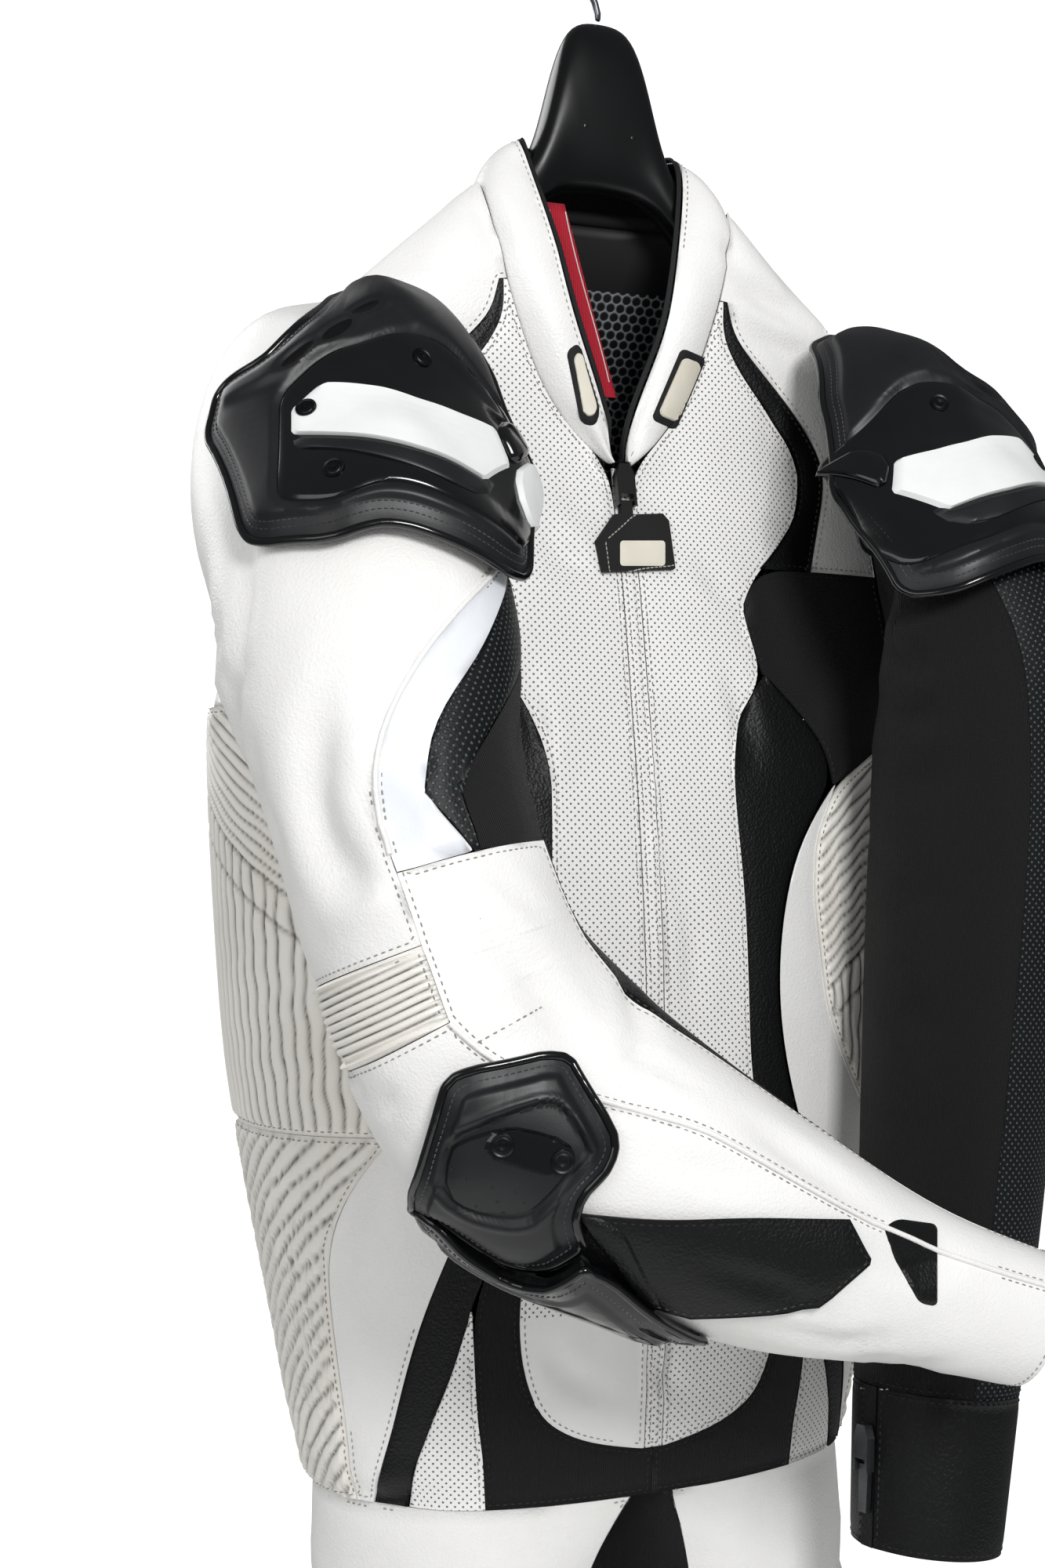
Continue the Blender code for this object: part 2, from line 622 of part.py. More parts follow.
def leg_start():
    # The top of a leg: half of the body's last section, closed by the line of the crotch.
    u = np.linspace(0, 0.5, 120)
    round_side = body.at(u, np.full(120, TORSO_BOTTOM))
    round_side[:, 0] = np.maximum(round_side[:, 0], SEAM)
    loop = np.concatenate([round_side, round_side[:1]])
    return even_arc(loop, 49)[:-1] - (0, 0, SEAM)


def make_leg():
    rings = [leg_start()]
    for x, y, height, half_x, half_y in LEG:
        rings.append(section_ring((x, y, height), (0, 0, -1), (-1, 0, 0), half_x, half_y, -1, 48,
                                  turn=math.radians(46)))
    return Tube(rings, np.arange(len(rings)))


LEG_PANELS = (
    # title, first and last share of the way round, columns, material name
    ("outer", 0.02, 0.72, 13, "white_leather"),
    ("inner", 0.72, 1.02, 5, "black_knit"),
)


def make_legs():
    leg = make_leg()
    rows = list(rows_between(0, len(LEG), 0.5))
    for title, start, stop, columns, material in LEG_PANELS:
        outer, inner = wall_grids(leg, rows, lambda v: start, lambda v: stop, columns, LEATHER,
                                  end_gaps=(False, False))
        inner[0][:, 2] = outer[0][:, 2]
        vertices, faces = grid_mesh(lowered(outer), lowered(inner))
        add_object(f"leg_{title}_left", vertices, faces, bpy.data.materials[material])
        add_object(f"leg_{title}_right", mirrored(vertices), faces, bpy.data.materials[material])


def neck_seam_points():
    # Outer and inner points of the left neckline, from the foot of the V to the middle of the back.
    rows = sorted(torso_rows(V_BOTTOM, NECK_HEIGHT) + [0.270])
    places = [(torso_u(row, interp(NECK_SEAM, row)), row) for row in rows]
    places += [(u, NECK_HEIGHT) for u in np.linspace(0.25, 0.5, BACK_COLUMNS // 2 + 1)[1:]]
    u, v = np.array(places).T
    normal = body.normal(u, v)
    return body.at(u, v), normal


COLLAR_EDGE = ((0.176, 0.0030, -0.020), (0.195, 0.006, -0.022), (0.211, 0.012, -0.024),
               (0.253, 0.029, -0.026), (0.297, 0.038, -0.020), (0.330, 0.046, -0.010),
               (0.350, 0.050, 0.000))


def collar_edge(seam_point, at_back):
    x, y, height = seam_point
    if at_back:
        return np.array([x * 0.65, y * 0.95, COLLAR_TOP])
    rise = (height - V_BOTTOM) / (NECK_HEIGHT - V_BOTTOM)
    up = 0.176 + rise * (COLLAR_TOP - 0.176)
    table = np.array(COLLAR_EDGE)
    return np.array([np.interp(up, table[:, 0], table[:, 1]), np.interp(up, table[:, 0], table[:, 2]), up])


def make_collar():
    base, base_normal = neck_seam_points()
    count = len(base)
    edge = np.array([collar_edge(p, k >= count - BACK_COLUMNS // 2) for k, p in enumerate(base)])
    base = np.concatenate([base, mirrored(base[:-1])[::-1]])
    base_normal = np.concatenate([base_normal, mirrored(base_normal[:-1])[::-1]])
    edge = np.concatenate([edge, mirrored(edge[:-1])[::-1]])
    across = unit(edge - base)
    start = base + across * SEAM
    shares = (0.0, 0.33, 0.67, 1.0)
    outer = np.array([start + (edge - start) * t + base_normal * 0.005 * math.sin(math.pi * t)
                      for t in shares])
    along = np.gradient(outer, axis=1)
    over = np.gradient(outer, axis=0)
    normal = unit(np.cross(along, over))
    if np.sum(normal[1] * base_normal) < 0:
        normal = -normal
    inner = outer - normal * LEATHER
    inner[0] = start - base_normal * LEATHER
    vertices, faces = grid_mesh(lowered(outer), lowered(inner))
    add_object("collar", vertices, faces, WHITE)
    onward = unit(outer[-1] - outer[-2])
    tip = outer[-1] + onward * 4 * SEAM
    low_tip = inner[-1] + onward * 4 * SEAM
    trim_outer = np.array([tip, tip + onward * 0.003])
    trim_inner = np.array([low_tip, low_tip + onward * 0.003])
    vertices, faces = grid_mesh(lowered(trim_outer), lowered(trim_inner))
    add_object("collar_trim", vertices, faces, BLACK)


# The shoulder cup's rim on the right side.
SHOULDER_CUP = (
    # x, y, height
    (-0.141, -0.012, 0.263), (-0.110, -0.035, 0.250), (-0.102, -0.060, 0.232), (-0.094, -0.075, 0.210),
    (-0.091, -0.090, 0.184), (-0.082, -0.105, 0.155), (-0.089, -0.120, 0.134), (-0.102, -0.146, 0.095),
    (-0.120, -0.164, 0.096), (-0.139, -0.170, 0.105), (-0.161, -0.171, 0.113), (-0.179, -0.167, 0.118),
    (-0.193, -0.163, 0.116), (-0.208, -0.159, 0.109), (-0.236, -0.130, 0.108), (-0.240, -0.119, 0.114),
    (-0.244, -0.068, 0.167), (-0.236, -0.060, 0.193), (-0.219, -0.078, 0.205), (-0.198, -0.077, 0.227),
    (-0.162, -0.026, 0.252),
)
SHOULDER_HUB = (-0.165, -0.045, 0.135)
SHOULDER_AXIS = (-0.35, -0.75, 0.55)
# Outlines as degrees across and up, seen from the hub along the axis.
SHOULDER_PLATE = ((-14, 0), (-3, 8), (14, 22), (26, 22), (41, 8), (49, -9), (52, -28), (30, -30),
                  (19, -30), (3, -36), (-10, -35))
ELBOW_HUB = (-0.105, -0.155, -0.135)
ELBOW_AXIS = (-0.52, -0.80, -0.30)
ELBOW_CUP = ((-15, 22), (-9, 25), (12, 30), (20, 29), (29, 11), (32, 2), (29, -4), (20, -11), (17, -19),
             (18, -25), (8, -36), (-5, -38), (-13, -31), (-21, -22), (-31, -20), (-23, -4))
ELBOW_PLATE = ((-14, 6), (-8, 12), (12, 18), (17, 16), (23, 1), (9, -17), (-12, -17), (-19, -9))
ELBOW_SLIDER = ((-31, -24), (-21, -26), (-14, -36), (-5, -42), (9, -40), (20, -29), (31, -44), (42, -58),
                (28, -63), (9, -62), (-10, -56), (-20, -47), (-28, -36))


def frame_of(axis):
    axis = unit(axis)
    across = unit(np.cross((0, 0, 1), axis))
    if across @ np.array((0.9, -0.4, 0)) < 0:
        across = -across
    up = np.cross(axis, across)
    return axis, across, up if up[2] > 0 else -up


def aim(frame, degrees):
    # A direction that lies this many degrees across and up from the frame's axis.
    axis, across, up = frame
    turn = math.radians(math.hypot(*degrees))
    if turn < 1e-6:
        return axis
    side = (across * degrees[0] + up * degrees[1]) / math.hypot(*degrees)
    return axis * math.cos(turn) + side * math.sin(turn)


def degrees_of(frame, direction):
    axis, across, up = frame
    direction = unit(direction)
    turn = math.degrees(math.acos(min(1.0, direction @ axis)))
    side = np.array([direction @ across, direction @ up])
    return turn * side / np.linalg.norm(side)


def surface_tree(names):
    points, polygons = [], []
    for name in names:
        mesh = bpy.data.objects[name].data
        start = len(points)
        points += [vertex.co.copy() for vertex in mesh.vertices]
        polygons += [[start + k for k in face.vertices] for face in mesh.polygons]
    return BVHTree.FromPolygons(points, polygons)


def skin_radius(tree, hub, direction):
    # Distance from the hub to the outermost surface that way.
    reach = 0.17
    start = Vector(lowered(hub) + direction * reach)
    hit = tree.ray_cast(start, Vector(-direction), reach)
    return reach - hit[3] if hit[0] is not None else 0.0


def rest_on(tree, hub, directions, radii, triangles, gap):
    # Raise a shell's points until no part of its facets comes nearer to the surface than the gap.
    shares = [(a / 6, b / 6, (6 - a - b) / 6) for a in range(7) for b in range(7 - a)]
    for _ in range(5):
        need = np.zeros(len(radii))
        for corners in triangles:
            points = directions[corners] * radii[corners][:, None]
            for share in shares:
                spot = share @ points
                radius = np.linalg.norm(spot)
                short = skin_radius(tree, hub, spot / radius) + gap - radius
                for corner, weight in zip(corners, share):
                    if weight > 0 and short > need[corner]:
                        need[corner] = short
        radii = radii + need
    return radii


def make_pad(name, tree, hub, axis, outline, height, edge, material, gap=0.0005, rim_radii=None):
    frame = frame_of(axis)
    outline = np.array(outline, float)
    centre = outline.mean(axis=0)
    shares = (0.30, 0.58, 0.84, 1.0)
    heights = np.repeat((1.0, 1.0, 0.9, edge), len(outline))
    spots = [centre + (spot - centre) * share for share in shares for spot in outline] + [centre]
    directions = np.array([aim(frame, spot) for spot in spots])
    radii = np.array([skin_radius(tree, hub, direction) + gap for direction in directions])
    count, half = len(outline), len(spots)
    if rim_radii is not None:
        for row, share in enumerate(shares):
            part = slice(row * count, row * count + count)
            radii[part] = np.maximum(radii[part], radii[-1] * (1 - share) + np.array(rim_radii) * share)
    triangles = [(k, (k + 1) % count, half - 1) for k in range(count)]
    for ring in range(len(shares) - 1):
        for k in range(count):
            after = (k + 1) % count
            here, there = ring * count, (ring + 1) * count
            triangles += [(here + k, here + after, there + after), (here + k, there + after, there + k)]
            triangles += [(here + k, here + after, there + k), (here + after, there + after, there + k)]
    radii = rest_on(tree, hub, directions, radii, [list(corners) for corners in triangles], gap)
    heights = np.append(heights, 1.0) * height
    low = list(lowered(hub) + directions * radii[:, None])
    top = list(lowered(hub) + directions * (radii + heights)[:, None])
    faces = []
    for ring in range(len(shares) - 1):
        for k in range(count):
            after = (k + 1) % count
            quad = (ring * count + k, ring * count + after,
                    (ring + 1) * count + after, (ring + 1) * count + k)
            faces.append(quad)
            faces.append(tuple(half + v for v in reversed(quad)))
    rim = (len(shares) - 1) * count
    for k in range(count):
        after = (k + 1) % count
        faces.append((after, k, half - 1))
        faces.append((half + k, half + after, 2 * half - 1))
        faces.append((rim + k, rim + after, half + rim + after, half + rim + k))
    return add_object(name, top + low, faces, material)


def make_armour():
    right_cloth = ("right_sleeve_outer", "right_sleeve_pearl", "right_sleeve_inner", "yoke_right",
                   "right_sleeve_stretch")
    left_cloth = ("left_sleeve_outer", "left_sleeve_stretch", "yoke_left")
    for side, title, cloth in ((-1, "right", right_cloth), (1, "left", left_cloth)):
        flip = np.array((-side, 1, 1))
        tree = surface_tree(cloth)
        hub = np.array(SHOULDER_HUB) * flip
        axis = np.array(SHOULDER_AXIS) * flip
        frame = frame_of(axis)
        rim = [np.array(point) * flip - hub for point in SHOULDER_CUP]
        outline = [degrees_of(frame, point) for point in rim]
        radii = [np.linalg.norm(point) - 0.006 for point in rim]
        make_pad(f"shoulder_cup_{title}", tree, hub, axis, outline, 0.0085, 0.45, PLASTIC,
                 rim_radii=radii)
        cup = surface_tree([f"shoulder_cup_{title}"])
        mirror = np.array(SHOULDER_PLATE, float) * (-side, 1)
        make_pad(f"shoulder_plate_{title}", cup, hub, axis, mirror, 0.0022, 0.6, GLOSS, gap=0.0012)
    elbow_cloth = ("right_forearm", "right_elbow_accordion", "right_forearm_crook", "right_sleeve_outer",
                   "right_forearm_band")
    tree = surface_tree(elbow_cloth)
    make_pad("elbow_cup_right", tree, ELBOW_HUB, ELBOW_AXIS, ELBOW_CUP, 0.008, 0.4, PLASTIC)
    make_pad("elbow_slider_right", tree, ELBOW_HUB, ELBOW_AXIS, ELBOW_SLIDER, 0.014, 0.3, GLOSS)
    cup = surface_tree(["elbow_cup_right"])
    make_pad("elbow_plate_right", cup, ELBOW_HUB, ELBOW_AXIS, ELBOW_PLATE, 0.003, 0.6, GLOSS)
    tree = surface_tree(["left_sleeve_outer", "left_sleeve_stretch"])
    hub, axis = (0.172, -0.105, -0.080), (0.85, -0.42, -0.05)
    make_pad("elbow_cup_left", tree, hub, axis, ELBOW_CUP, 0.008, 0.4, PLASTIC)
    make_pad("elbow_slider_left", tree, hub, axis, ELBOW_SLIDER, 0.012, 0.3, GLOSS)


# The hanger's sections from the middle out: distance, top, underside, front-to-back half size.
HANGER = (
    (0.000, 0.424, 0.328, 0.0130), (0.014, 0.423, 0.327, 0.0128), (0.022, 0.412, 0.326, 0.0124),
    (0.028, 0.392, 0.323, 0.0120), (0.034, 0.366, 0.319, 0.0116), (0.041, 0.346, 0.312, 0.0112),
    (0.052, 0.3335, 0.300, 0.0110), (0.070, 0.3180, 0.283, 0.0108), (0.095, 0.2960, 0.262, 0.0106),
    (0.120, 0.2725, 0.241, 0.0102), (0.142, 0.2480, 0.222, 0.0096), (0.154, 0.2340, 0.212, 0.0086),
    (0.160, 0.2260, 0.214, 0.0050),
)
HANGER_Y = 0.006
HOOK_WIRE = 0.0022
HOOK_RADIUS = 0.020


def make_hanger():
    right = [(-x, top, low, half) for x, top, low, half in HANGER[:0:-1]]
    rings = []
    for x, top, low, half in right + list(HANGER):
        angle = np.linspace(0, 2 * math.pi, 16, endpoint=False)
        y = HANGER_Y + half * np.sign(np.cos(angle)) * np.abs(np.cos(angle)) ** 0.8
        height = (top + low) / 2 + (top - low) / 2 * np.sign(np.sin(angle)) * np.abs(np.sin(angle)) ** 0.8
        rings.append(np.column_stack([np.full(16, x), y, height]))
    points = lowered(np.array(rings).reshape(-1, 3))
    faces = [(r * 16 + c, r * 16 + (c + 1) % 16, (r + 1) * 16 + (c + 1) % 16, (r + 1) * 16 + c)
             for r in range(len(rings) - 1) for c in range(16)]
    faces.append(tuple(reversed(range(16))))
    faces.append(tuple(range(len(points) - 16, len(points))))
    add_object("hanger_body", points, faces, HANGER_BLACK)


def make_hook():
    # A wire that rises from the hanger's neck and turns over the rail, open to the wearer's left.
    centre = 0.490 - HOOK_RADIUS
    foot = HANGER[0][1] + SEAM
    bend = HOOK_RADIUS + HOOK_WIRE
    route = [(0, foot), (0, foot + 0.008)]
    for step in range(15):
        angle = math.radians(235 - step * 17.5)
        route.append((bend * math.cos(angle), centre + bend * math.sin(angle)))
    curve = bpy.data.curves.new("hanger_hook", "CURVE")
    curve.dimensions = "3D"
    curve.bevel_depth = HOOK_WIRE
    curve.bevel_resolution = 2
    curve.use_fill_caps = True
    spline = curve.splines.new("POLY")
    spline.points.add(len(route) - 1)
    for point, (x, height) in zip(spline.points, route):
        lean = HANGER_Y * min(1.0, (CHEST_DROP - height) / (CHEST_DROP - foot))
        point.co = (*lowered((x, lean, height)), 1)
    curve.materials.append(STEEL)
    hook = bpy.data.objects.new("hanger_hook", curve)
    bpy.context.scene.collection.objects.link(hook)


# A slider's outline and a pull tab's, across and above the hinge between them.
SLIDER_OUTLINE = ((-0.0055, -0.0020), (-0.0038, -0.0020), (-0.0038, 0.0042), (0.0038, 0.0042),
                  (0.0038, -0.0020), (0.0055, -0.0020), (0.0055, 0.0150), (0.0030, 0.0215),
                  (-0.0030, 0.0215), (-0.0055, 0.0150))
SLIDER_DEPTH = 0.005
FRONT_LIFT = 0.0015
CUFF_LIFT = 0.0003
# How much further off the cloth a slider lies than its tab.
SLIDER_CLEARANCE = 0.0004
FRONT_TAB = ((-0.0035, 0.0013), (0.0035, 0.0013), (0.0035, -0.0065), (0.0216, -0.0050),
             (0.0250, -0.0090), (0.0260, -0.0360), (-0.0175, -0.0395), (-0.0198, -0.0220),
             (-0.0080, -0.0070), (-0.0035, -0.0065))
CUFF_TAB = ((-0.0035, 0.0013), (0.0035, 0.0013), (0.0035, -0.0080), (0.0030, -0.0230),
            (-0.0030, -0.0230), (-0.0035, -0.0080))
TAB_DEPTH = 0.003
FRONT_HINGE = (0.0, 0.1515)
CUFF_HINGE = (0.400, 7.55)
CUFF_ZIP = 0.034


def surface_frame(tube, u, v, upward):
    # A point on a tube with the directions across, up and out of its surface.
    spot = tube.at(np.full(1, u), np.full(1, v))[0]
    out = tube.normal(np.full(1, u), np.full(1, v))[0]
    up = unit(tube.slopes(np.full(1, u), np.full(1, v))[1][0]) * upward
    return spot, unit(np.cross(up, out)), up, out


def plate_on(name, frame, outline, lift, depth, material):
    spot, across, up, out = frame
    points = [spot + across * x + up * rise + out * level
              for level in (lift, lift + depth) for x, rise in outline]
    count = len(outline)
    faces = [tuple(range(count)), tuple(range(2 * count - 1, count - 1, -1))]
    faces += [((k + 1) % count, k, count + k, count + (k + 1) % count) for k in range(count)]
    add_object(name, lowered(points), faces, material, smooth=False)


def make_zip_pulls():
    front = surface_frame(body, *FRONT_HINGE, 1)
    plate_on("zip_slider", front, SLIDER_OUTLINE, FRONT_LIFT + SLIDER_CLEARANCE, SLIDER_DEPTH, STEEL)
    plate_on("zip_pull_tab", front, FRONT_TAB, FRONT_LIFT, TAB_DEPTH, GLOSS)
    cuff = surface_frame(left_sleeve, *CUFF_HINGE, -1)
    plate_on("cuff_zip_slider", cuff, SLIDER_OUTLINE, CUFF_LIFT + SLIDER_CLEARANCE, SLIDER_DEPTH, STEEL)
    plate_on("cuff_zip_pull", cuff, CUFF_TAB, CUFF_LIFT, TAB_DEPTH, STEEL)


# The hang loop: a folded ribbon from the right side of the neck down to the foot of the V.
LOOP_ROUTE = ((-0.0335, -0.0100, 0.316), (-0.027, -0.0115, 0.293), (-0.017, -0.0130, 0.255),
              (-0.004, -0.0140, 0.212))
LOOP_WIDTH = 0.012


def make_neck_loop():
    outer, inner = [], []
    for x, y, height in LOOP_ROUTE:
        outer.append([(x + w * LOOP_WIDTH, y - 0.0008, height) for w in (-0.5, 0.0, 0.5)])
        inner.append([(x + w * LOOP_WIDTH, y + 0.0008, height) for w in (-0.5, 0.0, 0.5)])
    vertices, faces = grid_mesh(lowered(np.array(outer)), lowered(np.array(inner)))
    add_object("neck_loop", vertices, faces, RED)


def make_lining():
    # Black lining of the upper back, seen down the open neck.
    rows = [0.10, 0.16, 0.21, 0.255, 0.29, 0.322]
    outer, inner = wall_grids(body, rows, lambda h: 0.30, lambda h: 0.70, 11, 0.0012, lift=-0.0056)
    vertices, faces = grid_mesh(lowered(outer), lowered(inner))
    add_object("back_lining", vertices, faces, KNIT_BLACK)


WHITE = make_material("white_leather", (0.80, 0.79, 0.75), 0.5)
BLACK = make_material("black_leather", (0.03, 0.03, 0.035), 0.45)
KNIT_BLACK = make_material("black_knit", (0.02, 0.02, 0.022), 0.85)
PEARL = make_material("pearl_leather", (0.72, 0.76, 0.80), 0.3)
PLASTIC = make_material("moulded_plastic", (0.02, 0.02, 0.022), 0.5)
GLOSS = make_material("gloss_plastic", (0.01, 0.01, 0.012), 0.15)
HANGER_BLACK = make_material("hanger_plastic", (0.02, 0.02, 0.025), 0.3)
STEEL = make_material("steel", (0.5, 0.5, 0.5), 0.3, 1.0)
RED = make_material("red_ribbon", (0.7, 0.02, 0.03), 0.7)

body = make_torso()
armhole_normal, armhole_offset = armhole_plane()
under_height = armhole_limit(-0.05, 0.13)
top_height = armhole_limit(0.30, 0.13)
all_rows = sorted(TORSO_ROWS + (under_height, top_height))
make_body_panels()
make_collar()
right_sleeve = make_sleeve(RIGHT_SLEEVE, -1)
left_sleeve = make_sleeve(LEFT_SLEEVE, 1)
make_right_sleeve(right_sleeve)
make_forearm_band(right_sleeve)
make_left_sleeve(left_sleeve)
make_legs()
make_armour()
make_hanger()
make_hook()
make_zip_pulls()
make_neck_loop()
make_lining()
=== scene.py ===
import json
import math

import bmesh
import bpy
import numpy as np
from mathutils import Matrix, Vector
from mathutils.bvhtree import BVHTree
from mathutils.kdtree import KDTree

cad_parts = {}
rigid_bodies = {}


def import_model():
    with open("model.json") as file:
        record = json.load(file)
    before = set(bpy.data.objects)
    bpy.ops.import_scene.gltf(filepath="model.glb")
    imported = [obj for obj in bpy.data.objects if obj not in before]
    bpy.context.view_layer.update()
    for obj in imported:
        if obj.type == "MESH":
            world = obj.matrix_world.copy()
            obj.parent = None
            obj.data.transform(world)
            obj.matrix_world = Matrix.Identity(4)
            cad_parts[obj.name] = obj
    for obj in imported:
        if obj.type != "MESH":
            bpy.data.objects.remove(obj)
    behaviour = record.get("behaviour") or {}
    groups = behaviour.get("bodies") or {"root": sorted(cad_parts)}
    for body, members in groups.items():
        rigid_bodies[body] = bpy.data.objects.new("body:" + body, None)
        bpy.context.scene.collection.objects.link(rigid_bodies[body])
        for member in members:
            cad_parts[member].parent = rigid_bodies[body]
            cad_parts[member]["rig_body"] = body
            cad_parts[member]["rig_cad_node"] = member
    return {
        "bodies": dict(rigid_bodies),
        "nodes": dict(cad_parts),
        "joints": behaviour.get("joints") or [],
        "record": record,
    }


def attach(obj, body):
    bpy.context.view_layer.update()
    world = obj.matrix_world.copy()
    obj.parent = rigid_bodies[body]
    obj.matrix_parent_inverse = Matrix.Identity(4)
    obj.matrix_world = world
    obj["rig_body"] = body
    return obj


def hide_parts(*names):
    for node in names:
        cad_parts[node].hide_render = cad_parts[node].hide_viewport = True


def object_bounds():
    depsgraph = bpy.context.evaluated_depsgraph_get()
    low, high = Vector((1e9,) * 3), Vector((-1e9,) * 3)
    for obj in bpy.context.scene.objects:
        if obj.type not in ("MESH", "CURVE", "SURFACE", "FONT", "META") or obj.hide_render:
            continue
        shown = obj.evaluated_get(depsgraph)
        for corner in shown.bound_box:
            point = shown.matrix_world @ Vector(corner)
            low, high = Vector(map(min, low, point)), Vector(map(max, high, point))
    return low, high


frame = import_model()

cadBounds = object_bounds()
nodes = frame["nodes"]
suitBody = "suit"
mm = 0.001
print("frame loaded,", len(nodes), "nodes")


def deselectAll():
    for thing in bpy.context.scene.objects:
        thing.select_set(False)


def newObject(name, data):
    thing = bpy.data.objects.new(name, data)
    bpy.context.scene.collection.objects.link(thing)
    return thing


def pick(thing):
    deselectAll()
    thing.select_set(True)
    bpy.context.view_layer.objects.active = thing
    return thing


def toLinear(hexColour):
    channels = [int(hexColour[k:k + 2], 16) / 255 for k in (1, 3, 5)]
    return tuple(c / 12.92 if c <= 0.04045 else ((c + 0.055) / 1.055) ** 2.4 for c in channels) + (1.0,)


def addNode(tree, kind, settings=None, links=None):
    # A link is from a socket, or from a node's first output.
    node = tree.nodes.new("ShaderNode" + kind)
    for name, value in (settings or {}).items():
        if isinstance(name, str) and hasattr(node, name):
            setattr(node, name, value)
        else:
            node.inputs[name].default_value = value
    for name, source in (links or {}).items():
        socket = source if isinstance(source, bpy.types.NodeSocket) else source.outputs[0]
        tree.links.new(socket, node.inputs[name])
    return node


def calc(tree, kind, operation, *parts):
    # A sum of numbers, vectors and other nodes.
    known = {k: part for k, part in enumerate(parts) if isinstance(part, (int, float, tuple))}
    links = {k: part for k, part in enumerate(parts) if k not in known}
    return addNode(tree, kind, {"operation": operation, **known}, links)


def ease(values, low, high):
    share = np.clip((values - low) / (high - low), 0, 1)
    return share * share * (3 - 2 * share)


def newMesh(name, vertices, faces, finish, smooth=True):
    mesh = bpy.data.meshes.new(name)
    mesh.from_pydata([tuple(v) for v in vertices], [], faces)
    mesh.materials.append(finish)
    if smooth:
        mesh.shade_smooth()
    return newObject(name, mesh)


def openMesh(mesh, merge=False):
    edit = bmesh.new()
    edit.from_mesh(mesh)
    if merge:
        bmesh.ops.remove_doubles(edit, verts=edit.verts, dist=1e-6)
    return edit


def closeMesh(edit, mesh):
    edit.to_mesh(mesh)
    edit.free()


def smoothBelow(thing, degrees):
    pick(thing)
    bpy.ops.object.shade_smooth_by_angle(angle=math.radians(degrees))


def treeOf(*things):
    # One search tree over several pieces.
    vertices, faces = [], []
    for thing in things:
        start = len(vertices)
        vertices += [v.co.copy() for v in thing.data.vertices]
        faces += [tuple(start + k for k in p.vertices) for p in thing.data.polygons]
    return BVHTree.FromPolygons(vertices, faces)


def pointTree(points):
    tree = KDTree(len(points))
    for k, point in enumerate(points):
        tree.insert(point, k)
    tree.balance()
    return tree


def modelled(name, finish):
    # The object an operator has just made gets its name and its finish.
    thing = bpy.context.object
    thing.name = thing.data.name = name
    thing.data.materials.clear()
    thing.data.materials.append(finish)
    return thing


def copyNode(name, ending, *finishes):
    # A copy of a CAD node with a mesh of its own, whose triangles are merged into larger faces.
    thing = nodes[name].copy()
    thing.data = nodes[name].data.copy()
    thing.parent = None
    thing.matrix_world = Matrix.Identity(4)
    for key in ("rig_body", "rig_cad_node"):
        if key in thing:
            del thing[key]
    thing.name = thing.data.name = f"{name}_{ending}"
    bpy.context.scene.collection.objects.link(thing)
    thing.data.materials.clear()
    for finish in finishes:
        thing.data.materials.append(finish)
    edit = openMesh(thing.data, merge=True)
    bmesh.ops.join_triangles(edit, faces=edit.faces, angle_face_threshold=math.radians(30),
                             angle_shape_threshold=math.radians(180))
    return thing, edit


def applyModifier(thing, kind, **settings):
    pick(thing)
    modifier = thing.modifiers.new(kind.title(), kind)
    for name, value in settings.items():
        setattr(modifier, name, value)
    if kind == "SUBSURF":
        modifier.render_levels = modifier.levels
    bpy.ops.object.modifier_apply(modifier=modifier.name)


# Camera, light and floor, where the suit hangs free of the ground.
viewer = {
    "heading": 25.0,       # degrees the camera stands to the suit's right
    "distance": 1.2,       # metres from the chest's plane
    "height": -0.49,
    "lens": 49.68,
    "shift": -0.0508,
}
heading = math.radians(viewer["heading"])
ahead = Vector((math.sin(heading), math.cos(heading), 0))
across = Vector((math.cos(heading), -math.sin(heading), 0))
up = Vector((0, 0, 1))
eye = Vector((0, 0, viewer["height"])) - ahead * viewer["distance"]


def makeCamera():
    data = bpy.data.cameras.new("camera")
    data.lens = viewer["lens"]
    data.shift_x = viewer["shift"]
    camera = newObject("camera", data)
    camera.location = eye
    camera.rotation_euler = (math.pi / 2, 0, -heading)
    bpy.context.scene.camera = camera


lights = {
    # name: place beside, before and above the chest, size, power and colour
    "keyPanel": ((-0.15, -1.80, 0.75), 0.5, 21.5, "#FFFFFF"),
    "frontPanel": ((-1.5, -1.0, 0.5), 1.0, 5, "#FFFFFF"),
    "backPanel": ((-0.8, 1.4, 0.9), 1.2, 14, "#FFFFFF"),
}
# Light from all round, its share in reflections, how bright the backdrop looks, the floor's size and how far
# it lies below the suit.
room = {"glow": 0.47, "mirrored": 0.14, "wall": 1.2, "floor": 2.5, "below": 0.02}


